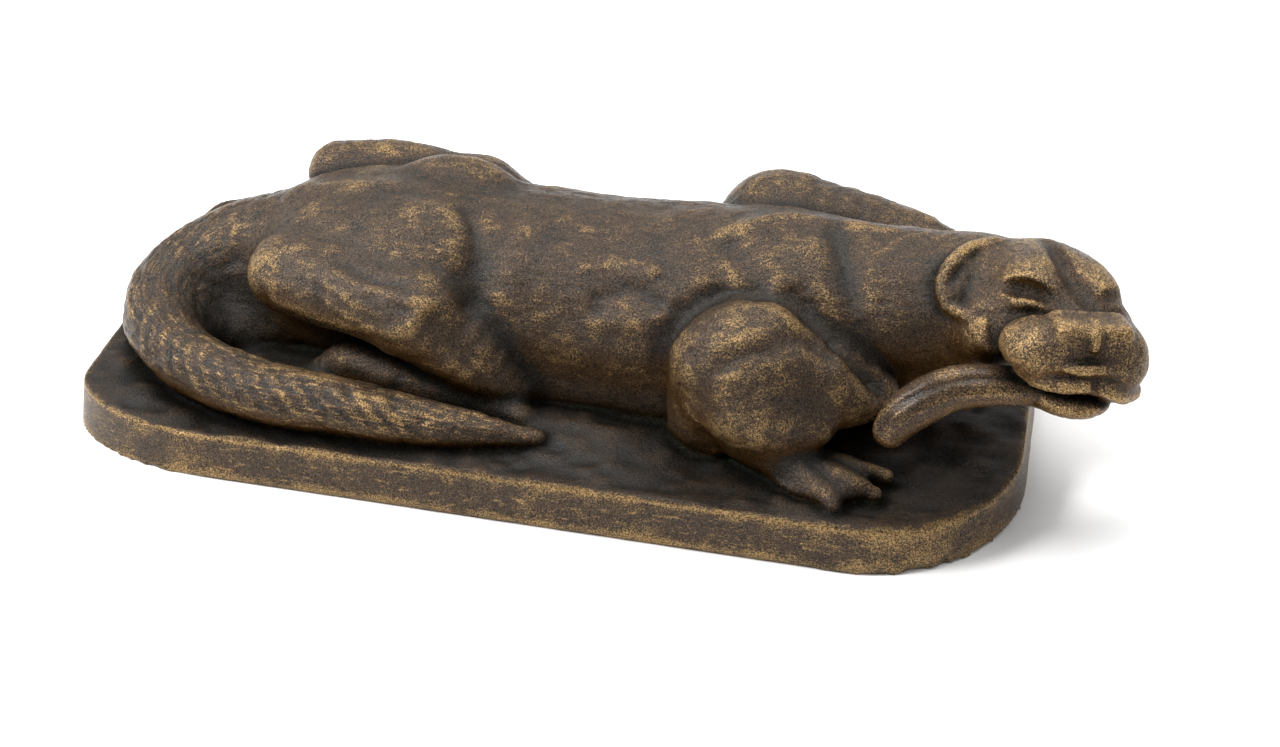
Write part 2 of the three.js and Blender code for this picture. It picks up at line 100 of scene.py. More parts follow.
TAIL = (
    (-96, 2, 27, 23),
    (-121, 1, 24, 19),
    (-138, -6, 20, 16),
    (-147, -20, 17, 14),
    (-146, -36, 14, 13),
    (-134, -51, 12, 12),
    (-116, -61, 11, 11.5),
    (-94, -66, 10, 11),
    (-68, -67, 9, 10.5),
    (-42, -67, 7, 9),
    (-18, -65, 5, 6.5),
    (4, -62, 3, 2.5),
)
# The two halves of the rump: centre and radii.
HIPS = (((-45, 16, 52.5), (19, 10, 11)), ((-47, -16, 50.5), (22, 11, 11)))
KNEE = ((-48, -24, 36), (27, 20, 20))
LEFT_KNEE = ((-53, 24, 34), (26, 20, 20))
LEFT_SHANK = ((-97, 32, 41, 12.5), (-74, 38, 40, 13), (-46, 40, 33, 14))
TAIL_BED = ((-128, -14, 0), (24, 22, 14))
HAUNCH = ((-72, -20, 35), (34, 18, 18))
SHANK = ((-98, -30, 35, 12.5), (-74, -38, 36, 13), (-44, -42, 35, 15))
THIGH_FOOT = ((-44, -40, 32, 16), (-26, -42, 20, 13), (-12, -42, 8, 8))
HIND_FOOT = ((-84, -36, -1, 5), (-70, -37, 6, 9), (-53, -42, 6, 8.5), (-30, -46, 4, 8), (-6, -50, 1, 6))
ELBOW = ((73, -40, 29), (27, 23, 24))
ELBOW_BACK = ((61, -41, 31, 14), (60, -43, 6, 13))
UPPER_ARM = ((74, -38, 30, 20), (98, -37, 25, 17), (115, -34, 21, 9))
FOREARM = ((66, -50, 20, 12), (80, -53, 19, 14), (94, -50, 17, 11))
PALM = ((78, -50, 9, 12), (90, -56, 5, 9), (98, -59, 3, 6))
TOES = (
    ((88, -58, 7, 4.5), (98, -65, 5, 3.6), (108, -73, 1, 3)),
    ((92, -56, 5, 5), (107, -61, 4, 4), (121, -64, 1, 3)),
    ((94, -52, 4, 5), (109, -54, 3, 4), (123, -54, 1, 3)),
)
WEB = ((102, -61, 2), (16, 11, 4.6))
LEFT_SHOULDER = ((70, 40, 34, 23), (100, 39, 34, 18), (126, 36, 31, 15), (148, 30, 28, 10))
FISH = (
    (199, -28, 40, 4.5),
    (184, -45, 40.5, 5),
    (163, -48, 41.5, 6.4),
    (143, -53, 41, 7.5),
    (130, -58, 34, 7.5),
    (124, -60, 26, 6),
)
# How softly each form joins the ones before it, as the width of the seam.
SEAMS = {
    "trunk": 1, "belly": 10, "hip": 8, "tail": 6, "tail_bed": 20, "haunch": 12, "knee": 6, "shank": 3,
    "thigh": 6, "hind_foot": 3, "shoulder": 4, "elbow": 3, "arm": 4, "toe": 2, "web": 3,
    "head_ridge": 2, "fish": 1.5,
}

# The head's own frame: forward to the nose, across to its left eye and up, from between the eyes.
HEAD_EYES = (177.0, -27.0, 62.6)
HEAD_TURN = (-73.5, 15.8, -5.5)
HEAD_MASSES = (
    ((-22, -4, -8), (30, 25, 21), 0, 12),
    ((-12, -12, 0), (20, 12, 12), -12, 4),
    ((-12, 6, -1), (20, 11, 11.5), 12, 4),
    ((-12, -23, -13), (18, 12, 13), 0, 5),
    ((-16, 11, -15), (18, 11, 13), 0, 7),
    ((2, -1, -8), (16, 13, 9), 0, 5),
    ((14, -14.5, -11), (13, 11.5, 9), 14, 3),
    ((15, 12.5, -14), (13, 10, 10.5), -14, 3),
    ((8, 0, -28), (18, 14, 7), 0, 2.5),
)
# Blocks of the muzzle: centre, half sizes, rounding, turn to the side, pitch and seam.
HEAD_BLOCKS = (
    ((10, 0, -10.5), (15, 20, 9.5), 7, 0, -8, 3),
    ((19, 0.5, -7), (8, 13, 8.5), 3.5, 2, -6, 3),
)
NOSE_CREST = ((22, 1, 0, 1.6), (27.6, 0.5, -2, 1.4), (28, 0.5, -6, 1.2))
NOSE_FOOT = ((26, -9, -13, 1.2), (28, -4, -13.5, 1.8), (28, 3, -13, 1.8), (26, 8, -14, 1.2))
PAD_CREST = ((15, -9, -1.5, 1.4), (20, -13, -5, 1.6), (22, -17, -9, 1.4))
UPPER_LIP = (
    (13, -20, -17, 2.5),
    (19, -14, -19.5, 3.8),
    (24, -5, -19.5, 4),
    (25.5, 3, -18.5, 4),
    (23, 11, -22, 4.2),
    (15, 18, -24, 4),
)
EAR_RIM = (
    (-28, -21, 10, 2.5),
    (-24, -30, 9, 3),
    (-19, -37, 5, 3.2),
    (-16, -40, -1, 3.2),
    (-12, -38, -7, 3),
    (-6, -32, -9, 2),
)
EAR_LOBE = ((-20, -32, 4, 3), (-14, -36, -4, 3.5))
LEFT_EAR = ((-32, 12, 4, 3), (-30, 20, -4, 4), (-26, 21, -12, 3))
# Furrows of the face with the softness of their edges.
HEAD_FURROWS = (
    (((-28, -4, 14, 1.5), (-7, -3, 11, 2), (0, -1, 7.5, 2.2), (8, 4, 3.5, 2)), 4),
    (((-3, -24, 4, 1.4), (2, -18.5, 4.5, 3.2), (6, -11, 4, 2)), 2.5),
    (((-3, 20, 3, 1.5), (2, 15, 4.5, 2.4), (6, 9, 4.5, 1.6)), 2.5),
    (((-2, -31, -5.5, 1), (4, -24, -3.5, 1.3), (9, -16, -1.5, 1.3), (12, -8, 0, 1)), 1.5),
    (((3, -27, -6, 1.2), (7, -26, -13, 1.6), (13, -23.5, -19, 1.8)), 3),
    (((12, -23, -21, 1.8), (19, -15, -25, 1.6), (25, -6, -25, 1.6), (28, 2, -23.5, 1.6),
      (23, 13, -27, 1.6)), 2),
    (((29.5, 2, -16, 0.8), (29, 2.5, -23, 1.2)), 1.5),
    (((29.5, 3.5, -8, 1.2), (29, 6, -10, 0.8)), 1),
    (((29.5, -3.5, -9, 1.2), (29, -6.5, -11, 0.8)), 1),
)
# Strokes of the modelling tool over the plain forms: points, half width and rise, or fall.
STROKES = (
    # the folds of the body: at the neck, before the knee, behind the shoulder and round the elbow
    (((94, 4, 66), (100, -15, 62), (105, -27, 55), (110, -36, 45), (117, -40, 31)), 4.5, -2.6),
    (((-33, -12, 60), (-27, -22, 57), (-24, -33, 50), (-24, -40, 41)), 4.5, -2.4),
    (((60, -12, 57), (68, -19, 55), (73, -29, 53)), 4.5, -1.8),
    (((58, -7, 58), (66, -1, 61), (76, 3, 61), (88, 4, 61), (99, 4, 61), (112, 2, 62)), 4.5, 2),
    (((88, -12, 60), (92, -22, 55), (98, -31, 47)), 5, 1),
    (((-102, 2, 51), (-85, 0, 55), (-70, -1, 57), (-43, -2, 59)), 4.5, 1),
    (((-100, 14, 47), (-85, 18, 52), (-66, 13, 57)), 4.5, 0.9),
    (((42, -44, 22), (43, -42, 36), (49, -35, 46), (60, -29, 52)), 4, -2.2),
    (((86, -28, 52), (98, -35, 46), (110, -41, 38), (120, -42, 28)), 4, -2.2),
    # the fore leg: round the upper arm's bulge, on the bulge and down the elbow's edge
    (((62, -57, 12), (61, -60, 30), (67, -58, 42), (79, -54, 46), (90, -45, 46), (99, -43, 41)), 4, -1.5),
    (((76, -64, 26), (90, -62, 26)), 11, 1.6),
    (((48, -44, 36), (46, -42, 20), (47, -46, 5)), 2.6, 1.3),
    (((71, -40, 51), (84, -38, 50)), 6, 0.9),
    # the hind leg: behind the shank, along its end and its lower edge, and the locks on it
    (((-73, -38, 50), (-60, -45, 50), (-48, -47, 49), (-38, -45, 47)), 3, -1.1),
    (((-71, -44, 48), (-56, -49, 48), (-43, -52, 46)), 2, 0.5),
    (((-41, -51, 46), (-38, -55, 42), (-43, -58, 37)), 2.4, 0.8),
    (((-79, -39, 48), (-77, -48, 42), (-76, -52, 35)), 2.2, -0.8),
    (((-97, -41, 38), (-95, -35, 46), (-86, -33, 49)), 3, 1),
    (((-95, -44, 33), (-77, -51, 33), (-62, -54, 33), (-44, -57, 38), (-37, -52, 46)), 2.8, 1.1),
    (((-76, -46, 45), (-62, -51, 42), (-50, -54, 40)), 1.6, 0.8),
    (((-78, -48, 41), (-66, -53, 38), (-56, -55, 36)), 1.4, 0.6),
    (((-74, -43, 47), (-60, -48, 45), (-46, -52, 43)), 1.2, -0.6),
    (((-60, -30, 56), (-44, -34, 55), (-34, -30, 54)), 5, 0.8),
    (((-30, -46, 36), (-25, -52, 26), (-18, -54, 16)), 2.4, -0.8),
    # crisp lines at the bottom of the folds
    (((-31, -14, 58), (-27, -22, 57), (-24, -33, 50), (-24, -40, 41)), 1.5, -1.2),
    (((97, -8, 64), (101, -17, 60), (105, -27, 54), (110, -36, 44), (117, -40, 31)), 1.4, -1),
    (((45, -46, 6), (43, -44, 22), (45, -42, 37), (51, -35, 46), (61, -29, 51), (74, -28, 53)), 1.3, -1.1),
    (((90, -30, 50), (98, -36, 45), (110, -42, 37), (118, -42, 29)), 1.3, -0.9),
    # the flank: the wrinkled hollow behind the elbow with a ridge on either side
    (((19, -32, 43), (26, -30, 46), (33, -30, 47), (39, -32, 46)), 3.6, -1.6),
    (((12, -24, 50), (24, -22, 52), (36, -23, 52)), 3.4, 1),
    (((18, -38, 38), (31, -38, 39), (42, -36, 42)), 3, 0.9),
    (((4, -34, 40), (12, -37, 38), (18, -36, 40)), 4, -0.7),
    (((-16, -14, 57), (-12, -26, 51), (-14, -36, 42)), 6, 0.8),
    # the fish: its back and its side
    (((164, -51, 47), (144, -57, 47), (128, -62, 40), (120, -64, 29)), 1.4, -0.8),
    (((163, -54, 43), (144, -60, 43), (130, -65, 36), (123, -66, 27)), 1.2, 0.5),
    # the ground: along the tail's front, and the rim and hollow before the paw
    (((-127, -74, 1), (-108, -80, 1), (-76, -81, 1), (-40, -79, 1), (-12, -76, 0), (8, -73, 0)), 2.2, -1.4),
    (((49, -47, 3), (60, -51, 2), (68, -56, 1), (70, -63, 0), (66, -70, 0)), 2, 1.9),
    (((56, -60, 0), (60, -62, 0)), 7, -1.6),
    (((-6, -56, 4), (20, -58, 3), (44, -60, 1)), 5, 0.9),
)
# Locks on the tail's front: the rows of the tail where the first and the last start, their number,
# how many rows each runs along and its angles from the tail's top.
TAIL_LOCKS = {"first": 4.6, "last": 8.7, "count": 15, "run": 0.42, "angles": (18, 42, 78)}
TAIL_LOCK_BENDS = (0, 0.35, 1)
TAIL_LOCK_STROKE = (1.2, 1.1)
# Rises and hollows of the ground: x, y, half lengths along and across, and rise.
GROUND_HUMPS = (
    (-112, -30, 20, 18, 3),
    (-78, -42, 16, 9, 4.5),
    (10, -50, 40, 14, 4),
    (20, 52, 60, 18, 4),
    (60, -60, 13, 10, -3),
    (134, -42, 30, 26, -3.5),
)


def turned(side, up=0.0, roll=0.0):
    """The rows are a form's own axes after it turns to the side, pitches up and rolls."""
    z, y, x = math.radians(side), math.radians(-up), math.radians(roll)
    about_z = np.array([[math.cos(z), -math.sin(z), 0], [math.sin(z), math.cos(z), 0], [0, 0, 1]])
    about_y = np.array([[math.cos(y), 0, math.sin(y)], [0, 1, 0], [-math.sin(y), 0, math.cos(y)]])
    about_x = np.array([[1, 0, 0], [0, math.cos(x), -math.sin(x)], [0, math.sin(x), math.cos(x)]])
    return (about_z @ about_y @ about_x).T


HEAD_AXES = turned(*HEAD_TURN)


def on_head(row):
    """A point of the head's frame, with any radius after it, in the casting's frame."""
    place = np.array(HEAD_EYES) + np.array(row[:3], float) @ HEAD_AXES
    return (*place, *row[3:])


def join(a, b, seam):
    """Joins two distances with a seam of the given softness."""
    h = np.maximum(seam - np.abs(a - b), 0) / seam
    return np.minimum(a, b) - h * h * seam / 4


def carve(a, b, edge):
    """Carves b out of a with an edge of the given softness."""
    return -join(-a, b, edge)


def along(rows, t):
    """Points of a uniform Catmull-Rom curve through rows of numbers."""
    rows = np.asarray(rows, float)
    last = len(rows) - 1
    i = np.clip(np.floor(t).astype(int), 0, last - 1)
    f = (t - i)[:, None]
    a, b = rows[np.clip(i - 1, 0, last)], rows[i]
    c, d = rows[i + 1], rows[np.clip(i + 2, 0, last)]
    return b + 0.5 * f * (c - a + f * (2 * a - 5 * b + 4 * c - d + f * (3 * (b - c) + d - a)))


class Mass:
    """An egg-like mass with three radii along its own axes."""

    def __init__(self, centre, radii, axes=None):
        self.centre = np.asarray(centre, float)
        self.radii = np.asarray(radii, float)
        self.axes = np.eye(3) if axes is None else axes
        self.low = self.centre - self.radii.max()
        self.high = self.centre + self.radii.max()

    def distance(self, points):
        local = (points - self.centre) @ self.axes.T / self.radii
        k0 = np.linalg.norm(local, axis=1)
        k1 = np.linalg.norm(local / self.radii, axis=1)
        return k0 * (k0 - 1) / np.maximum(k1, 1e-9)


class Block:
    """A block with rounded edges."""

    def __init__(self, centre, half, rounding, axes):
        self.centre = np.asarray(centre, float)
        self.half = np.asarray(half, float) - rounding
        self.rounding = rounding
        self.axes = axes
        reach = np.linalg.norm(half)
        self.low = self.centre - reach
        self.high = self.centre + reach

    def distance(self, points):
        q = np.abs((points - self.centre) @ self.axes.T) - self.half
        outside = np.linalg.norm(np.maximum(q, 0), axis=1)
        return outside + np.minimum(q.max(axis=1), 0) - self.rounding


class Limb:
    """A limb through rows of x, y, z and radius."""

    def __init__(self, rows, steps=4):
        count = (len(rows) - 1) * steps
        self.rings = along(rows, np.linspace(0, len(rows) - 1, count + 1))
        reach = self.rings[:, 3:4]
        self.low = (self.rings[:, :3] - reach).min(axis=0)
        self.high = (self.rings[:, :3] + reach).max(axis=0)

    def distance(self, points):
        least = np.full(len(points), np.inf)
        for a, b in zip(self.rings[:-1], self.rings[1:]):
            span = b[:3] - a[:3]
            offset = points - a[:3]
            t = np.clip(offset @ span / (span @ span), 0, 1)
            gap = np.linalg.norm(offset - t[:, None] * span, axis=1) - (a[3] + (b[3] - a[3]) * t)
            least = np.minimum(least, gap)
        return least


class Trunk:
    """A trunk along X through rows of x, y, z, half width and half height."""

    def __init__(self, rows):
        self.rows = np.asarray(rows, float)
        x, y, z, wide, high = self.rows.T
        self.low = np.array([x[0], (y - wide).min(), (z - high).min()])
        self.high = np.array([x[-1], (y + wide).max(), (z + high).max()])

    def distance(self, points):
        stations = self.rows[:, 0]
        x = np.clip(points[:, 0], stations[0], stations[-1])
        t = np.interp(x, stations, np.arange(len(stations)))
        at = along(self.rows, t)
        q = (points[:, 1] - at[:, 1]) / at[:, 3]
        r = (points[:, 2] - at[:, 2]) / at[:, 4]
        k0 = np.hypot(q, r)
        k1 = np.maximum(np.hypot(q / at[:, 3], r / at[:, 4]), 1e-9)
        return np.maximum(k0 * (k0 - 1) / k1, np.abs(points[:, 0] - x) - 1)


# How far round a form its distances are worked out, and the distance where nothing is near.
REACH = 8.0
FAR = 40.0


def add(d, points, form, seam, mixer=join, reach=REACH):
    """Joins a form to the distances d, or carves it, near the form only."""
    margin = seam + reach
    near = np.all((points > form.low - margin) & (points < form.high + margin), axis=1)
    if near.any():
        d[near] = mixer(d[near], form.distance(points[near]), seam)


def side_row(row, side):
    """A row of figures drawn for the right, on the right for 1 and on the left for -1."""
    return (row[0], side * row[1], *row[2:])


def side_limb(rows, side):
    return Limb([side_row(row, side) for row in rows])


def leg_forms():
    """The limbs as pairs of a form and its seam, drawn for the right and mirrored for the left."""
    forms = []
    for side, knee, shank in ((1, KNEE, SHANK), (-1, LEFT_KNEE, LEFT_SHANK)):
        forms.append((Mass(*knee), SEAMS["knee"]))
        forms.append((Limb(shank), SEAMS["shank"]))
        forms.append((side_limb(THIGH_FOOT, side), SEAMS["thigh"]))
        forms.append((side_limb(HIND_FOOT, side), SEAMS["hind_foot"]))
        forms.append((Mass(side_row(ELBOW[0], side), ELBOW[1]), SEAMS["elbow"]))
        for rows in (ELBOW_BACK, UPPER_ARM, FOREARM, PALM):
            forms.append((side_limb(rows, side), SEAMS["arm"]))
        for toe in TOES:
            forms.append((side_limb(toe, side), SEAMS["toe"]))
        forms.append((Mass(side_row(WEB[0], side), WEB[1]), SEAMS["web"]))
    forms.append((Mass(*HAUNCH), SEAMS["haunch"]))
    forms.append((Mass(*TAIL_BED), SEAMS["tail_bed"]))
    forms.append((Limb(LEFT_SHOULDER), SEAMS["shoulder"]))
    return forms


def head_forms():
    """The masses, blocks and ridges of the head as pairs of a form and its seam."""
    forms = []
    for centre, radii, side, seam in HEAD_MASSES:
        forms.append((Mass(on_head(centre), radii, turned(side) @ HEAD_AXES), seam))
    for centre, half, rounding, side, up, seam in HEAD_BLOCKS:
        forms.append((Block(on_head(centre), half, rounding, turned(side, up) @ HEAD_AXES), seam))
    for rows in (EAR_RIM, EAR_LOBE, LEFT_EAR, NOSE_CREST, NOSE_FOOT, PAD_CREST, UPPER_LIP):
        forms.append((Limb([on_head(row) for row in rows], steps=2), SEAMS["head_ridge"]))
    return forms


TRUNK_FORM = Trunk(TRUNK)
BELLY_FORM = Trunk(BELLY)
HIP_FORMS = [Mass(*hip) for hip in HIPS]
TAIL_FORM = Limb(TAIL)
LEG_FORMS = leg_forms()
HEAD_FORMS = head_forms()
FURROW_FORMS = [(Limb([on_head(row) for row in rows], steps=3), edge) for rows, edge in HEAD_FURROWS]
FISH_FORM = Limb(FISH)


def otter_distance(points, reach=REACH):
    """The otter and its fish, in millimetres with heights from the plinth's top."""
    d = np.full(len(points), FAR)
    add(d, points, TRUNK_FORM, SEAMS["trunk"], reach=reach)
    add(d, points, BELLY_FORM, SEAMS["belly"], reach=reach)
    for hip in HIP_FORMS:
        add(d, points, hip, SEAMS["hip"], reach=reach)
    add(d, points, TAIL_FORM, SEAMS["tail"], reach=reach)
    for form, seam in LEG_FORMS:
        add(d, points, form, seam, reach=reach)
    for form, seam in HEAD_FORMS:
        add(d, points, form, seam, reach=reach)
    for furrow, edge in FURROW_FORMS:
        add(d, points, furrow, edge, mixer=carve, reach=reach)
    add(d, points, FISH_FORM, SEAMS["fish"], reach=reach)
    return d


def outline_distance(x, y, inset):
    """The distance outside the plinth's outline, drawn in by an inset."""
    half_x, half_y = PLINTH_LENGTH / 2 - inset, PLINTH_WIDTH / 2 - inset
    along_r = np.where(x > 0, HEAD_CORNER[0], TAIL_CORNER[0])
    across_r = np.where(x > 0, HEAD_CORNER[1], TAIL_CORNER[1])
    qx = np.abs(x) - (half_x - along_r)
    qy = np.abs(y) - (half_y - across_r)
    k0 = np.hypot(qx / along_r, qy / across_r)
    k1 = np.maximum(np.hypot(qx / along_r**2, qy / across_r**2), 1e-9)
    corner = k0 * (k0 - 1) / k1
    straight = np.maximum(np.abs(x) - half_x, np.abs(y) - half_y)
    return np.where((qx > 0) & (qy > 0), corner, straight)


def ground_height(x, y):
    """The height of the modelled ground over the plinth's top."""
    height = np.zeros_like(x)
    for cx, cy, rx, ry, high in GROUND_HUMPS:
        height += high * np.exp(-(((x - cx) / rx) ** 2) - ((y - cy) / ry) ** 2)
    return height


def plinth_distance(points):
    """The plinth with its modelled ground, in millimetres with heights from the plinth's top."""
    x, y, z = points.T
    rise = z + PLINTH_HEIGHT
    ground = (z - ground_height(x, y)) * GROUND_RATE
    side = outline_distance(x, y, PLINTH_LEAN * rise / PLINTH_HEIGHT)
    worn = carve(ground, -side, PLINTH_EDGE)
    return np.maximum(worn, -rise)


def casting_distance(points, reach=REACH):
    """The whole casting at points in millimetres from the underside's centre."""
    p = points - (0, 0, PLINTH_HEIGHT)
    d = join(otter_distance(p, reach), plinth_distance(p), GROUND_SEAM)
    return np.maximum(d, -points[:, 2])


# The lattice's steps in millimetres on the body and at the head.
BODY_STEP = 1.54
HEAD_STEP = 0.96
HEAD_SPAN_Y = (-70.0, 22.0)
HEAD_SPAN_Z = (20.0, 80.0)
# How much of the lattice across and upward is packed at the head, and where along X it turns finer.
HEAD_SHARE = 0.84
FINER_X = (112, 146)
PACKED_X = (104, 150)
# The lattice's limits: its margin round the plinth, its end past the head and its heights.
LATTICE_MARGIN = 3
LATTICE_END = 212
LATTICE_LOW = -2.0
LATTICE_HIGH = PLINTH_HEIGHT + 84
# The field is worked out on every so many points first, and then on all that are near the skin.
COARSE_STRIDE = 4
SKIN_BAND = 9
# Rounds of filling pinched corners, and the value that a filled corner gets.
PINCH_ROUNDS = 12
PINCH_FILL = -0.01
# Rounds of moving the vertices onto the skin, with the least slope and the longest step.
PROJECTIONS = 2
LEAST_SLOPE = 0.05
LONGEST_STEP = 0.6


def smooth(x, low, high):
    """Rises smoothly from 0 to 1 between two limits."""
    t = np.clip((x - low) / (high - low), 0, 1)
    return t * t * (3 - 2 * t)


def spread(count, low, high, packed, share):
    """Lattice lines spread evenly, and with a share of them packed between two limits."""
    t = np.linspace(0, 1, count)
    even = low + (high - low) * t
    before = (1 - share) * (packed[0] - low) / (packed[0] - low + high - packed[1])
    dense = np.interp(t, (0, before, before + share, 1), (low, packed[0], packed[1], high))
    return even, dense


def lattice():
    """Lattice points over the casting, packed round the head."""
    stations = []
    x = -PLINTH_LENGTH / 2 - LATTICE_MARGIN
    while x < LATTICE_END:
        stations.append(x)
        near = smooth(x, *FINER_X)
        x += BODY_STEP + (HEAD_STEP - BODY_STEP) * near
    stations = np.array(stations)
    half = PLINTH_WIDTH / 2 + LATTICE_MARGIN
    across = int((HEAD_SPAN_Y[1] - HEAD_SPAN_Y[0]) / HEAD_STEP / HEAD_SHARE)
    upward = int((HEAD_SPAN_Z[1] - HEAD_SPAN_Z[0]) / HEAD_STEP / HEAD_SHARE)
    y_even, y_dense = spread(across, -half, half, HEAD_SPAN_Y, HEAD_SHARE)
    z_packed = np.array(HEAD_SPAN_Z) + PLINTH_HEIGHT
    z_even, z_dense = spread(upward, LATTICE_LOW, LATTICE_HIGH, z_packed, HEAD_SHARE)
    packing = smooth(stations, *PACKED_X)[:, None]
    y = y_even + (y_dense - y_even) * packing
    z = z_even + (z_dense - z_even) * packing
    shape = (len(stations), across, upward)
    points = np.empty((*shape, 3))
    points[..., 0] = stations[:, None, None]
    points[..., 1] = y[:, :, None]
    points[..., 2] = z[:, None, :]
    return points


def fill_pinches(values):
    """Fills lattice corners where two sheets of skin would touch."""
    for _ in range(PINCH_ROUNDS):
        inside = values < 0
        changed = False
        for axes in ((1, 2), (0, 2), (0, 1)):
            def part(first, second):
                cut = [slice(None)] * 3
                cut[axes[0]] = slice(1, None) if first else slice(None, -1)
                cut[axes[1]] = slice(1, None) if second else slice(None, -1)
                return tuple(cut)
            a, b, c, d = part(0, 0), part(1, 0), part(0, 1), part(1, 1)
            crossed = (inside[a] == inside[d]) & (inside[b] == inside[c]) & (inside[a] != inside[b])
            if not crossed.any():
                continue
            changed = True
            for corner in (a, b, c, d):
                filled = crossed & (values[corner] >= 0)
                values[corner] = np.where(filled, PINCH_FILL, values[corner])
            inside = values < 0
        if not changed:
            return


def skin(points, values):
    """Vertices and quads of the skin where the values cross zero."""
    fill_pinches(values)
    inside = values < 0
    corners = [(a, b, c) for a in (0, 1) for b in (0, 1) for c in (0, 1)]
    shape = tuple(n - 1 for n in values.shape)
    total = np.zeros(shape, np.int8)
    for a, b, c in corners:
        total += inside[a : a + shape[0], b : b + shape[1], c : c + shape[2]]
    cells = np.argwhere((total > 0) & (total < 8))
    sums = np.zeros((len(cells), 3))
    hits = np.zeros(len(cells))
    for first in corners:
        for axis in range(3):
            if first[axis]:
                continue
            second = list(first)
            second[axis] = 1
            a = tuple((cells + first).T)
            b = tuple((cells + second).T)
            va, vb = values[a], values[b]
            crossing = (va < 0) != (vb < 0)
            t = np.where(crossing, va / np.where(crossing, va - vb, 1), 0)[:, None]
            place = points[a] + (points[b] - points[a]) * t
            sums += np.where(crossing[:, None], place, 0)
            hits += crossing
    vertices = sums / hits[:, None]
    number = np.full(shape, -1, np.int64)
    number[tuple(cells.T)] = np.arange(len(cells))

    quads = []
    for axis in range(3):
        u, v = [(1, 2), (2, 0), (0, 1)][axis]
        low = [slice(None)] * 3
        high = [slice(None)] * 3
        low[axis] = slice(None, -1)
        high[axis] = slice(1, None)
        here = inside[tuple(low)]
        change = np.argwhere(here != inside[tuple(high)])
        change = change[(change[:, u] > 0) & (change[:, v] > 0)]
        change = change[(change[:, u] < shape[u]) & (change[:, v] < shape[v])]
        ring = []
        for du, dv in ((-1, -1), (0, -1), (0, 0), (-1, 0)):
            cell = change.copy()
            cell[:, u] += du
            cell[:, v] += dv
            ring.append(number[tuple(cell.T)])
        ring = np.stack(ring, axis=1)
        outward = here[tuple(change.T)]
        quads.append(np.where(outward[:, None], ring, ring[:, ::-1]))
    return vertices, np.concatenate(quads)


def lattice_values(points):
    """The field on the lattice, worked out on every fourth point and then near the skin only."""
    stride = COARSE_STRIDE
    shape = points.shape[:3]
    rough = points[::stride, ::stride, ::stride]
    coarse = casting_distance(rough.reshape(-1, 3)).reshape(rough.shape[:3])
    index = []
    for fine_count, coarse_count in zip(shape, coarse.shape):
        nearest = (np.arange(fine_count) + stride // 2) // stride
        index.append(np.minimum(nearest, coarse_count - 1))
    values = coarse[np.ix_(*index)]
    near = np.abs(values) < SKIN_BAND
    values[near] = casting_distance(points[near])
    return values


def smoothed(values, quads, rounds):
    """Values spread over the mesh's neighbours a number of times."""
    a = quads.ravel()
    b = np.roll(quads, -1, axis=1).ravel()
    count = np.bincount(a, minlength=len(values)) + np.bincount(b, minlength=len(values))
    for _ in range(rounds):
        total = np.empty_like(values)
        for axis in range(values.shape[1]):
            column = values[:, axis]
            total[:, axis] = np.bincount(a, column[b], len(values))
            total[:, axis] += np.bincount(b, column[a], len(values))
        values = 0.5 * values + 0.5 * total / count[:, None]
    return values


def gradient(points):
    """The field's gradient, and so the skin's outward normal."""
    step = 0.25
    slopes = []
    for axis in range(3):
        offset = np.zeros(3)
        offset[axis] = step
        slopes.append(casting_distance(points + offset) - casting_distance(points - offset))
    return np.stack(slopes, axis=1) / (2 * step)


def largest_shell(vertices, quads):
    """Drops loose shells and pockets, and keeps the largest."""
    label = np.arange(len(vertices))
    a = quads.ravel()
    b = np.roll(quads, 1, axis=1).ravel()
    while True:
        least = np.minimum(label[a], label[b])
        before = label.copy()
        np.minimum.at(label, a, least)
        np.minimum.at(label, b, least)
        label = label[label]
        if (label == before).all():
            break
    names, counts = np.unique(label[quads[:, 0]], return_counts=True)
    quads = quads[label[quads[:, 0]] == names[counts.argmax()]]
    used, flat = np.unique(quads.ravel(), return_inverse=True)
    return vertices[used], flat.reshape(quads.shape)


def casting_skin():
    """Vertices and quads of the casting's skin, before its fur and rough ground."""
    points = lattice()
    values = lattice_values(points)
    vertices, quads = skin(points, values)
    vertices, quads = largest_shell(vertices, quads)
    for _ in range(PROJECTIONS):
        slope = gradient(vertices)
        size = np.maximum((slope**2).sum(axis=1), LEAST_SLOPE)
        shift = slope * (casting_distance(vertices) / size)[:, None]
        vertices = vertices - np.clip(shift, -LONGEST_STEP, LONGEST_STEP)
    return vertices, quads


# The noise's table and the primes that scatter its cells over the table.
NOISE_TABLE = 4096
SCATTER = np.array((73856093, 19349663, 83492791))


def lattice_noise(points, seed):
    """Smooth noise between -1 and 1 at points whose features are one unit wide."""
    rng = np.random.default_rng(seed)
    table = rng.uniform(-1, 1, NOISE_TABLE)
    base = np.floor(points).astype(np.int64)
    f = points - base
    f = f * f * (3 - 2 * f)
    total = np.zeros(len(points))
    for corner in range(8):
        step = np.array([corner & 1, (corner >> 1) & 1, (corner >> 2) & 1])
        key = np.bitwise_xor.reduce((base + step) * SCATTER, axis=1)
        weight = np.prod(np.where(step, f, 1 - f), axis=1)
        total += weight * table[key & (NOISE_TABLE - 1)]
    return total


# Layers of noise: rise, feature size and seed. The first two turn and shift the body's fur.
FUR_BEND = ((0.45, 38, 5),)
FUR_LEAN = ((6, 30, 6),)
LUMPS = ((0.45, 11, 41), (0.25, 5, 42))
EARTH = ((1.2, (14, 9, 9), 51), (0.8, (6, 4, 4), 52))
FISH_SKIN = ((0.15, 4, 61),)
SIDE_SKIN = ((0.12, 5, 62),)
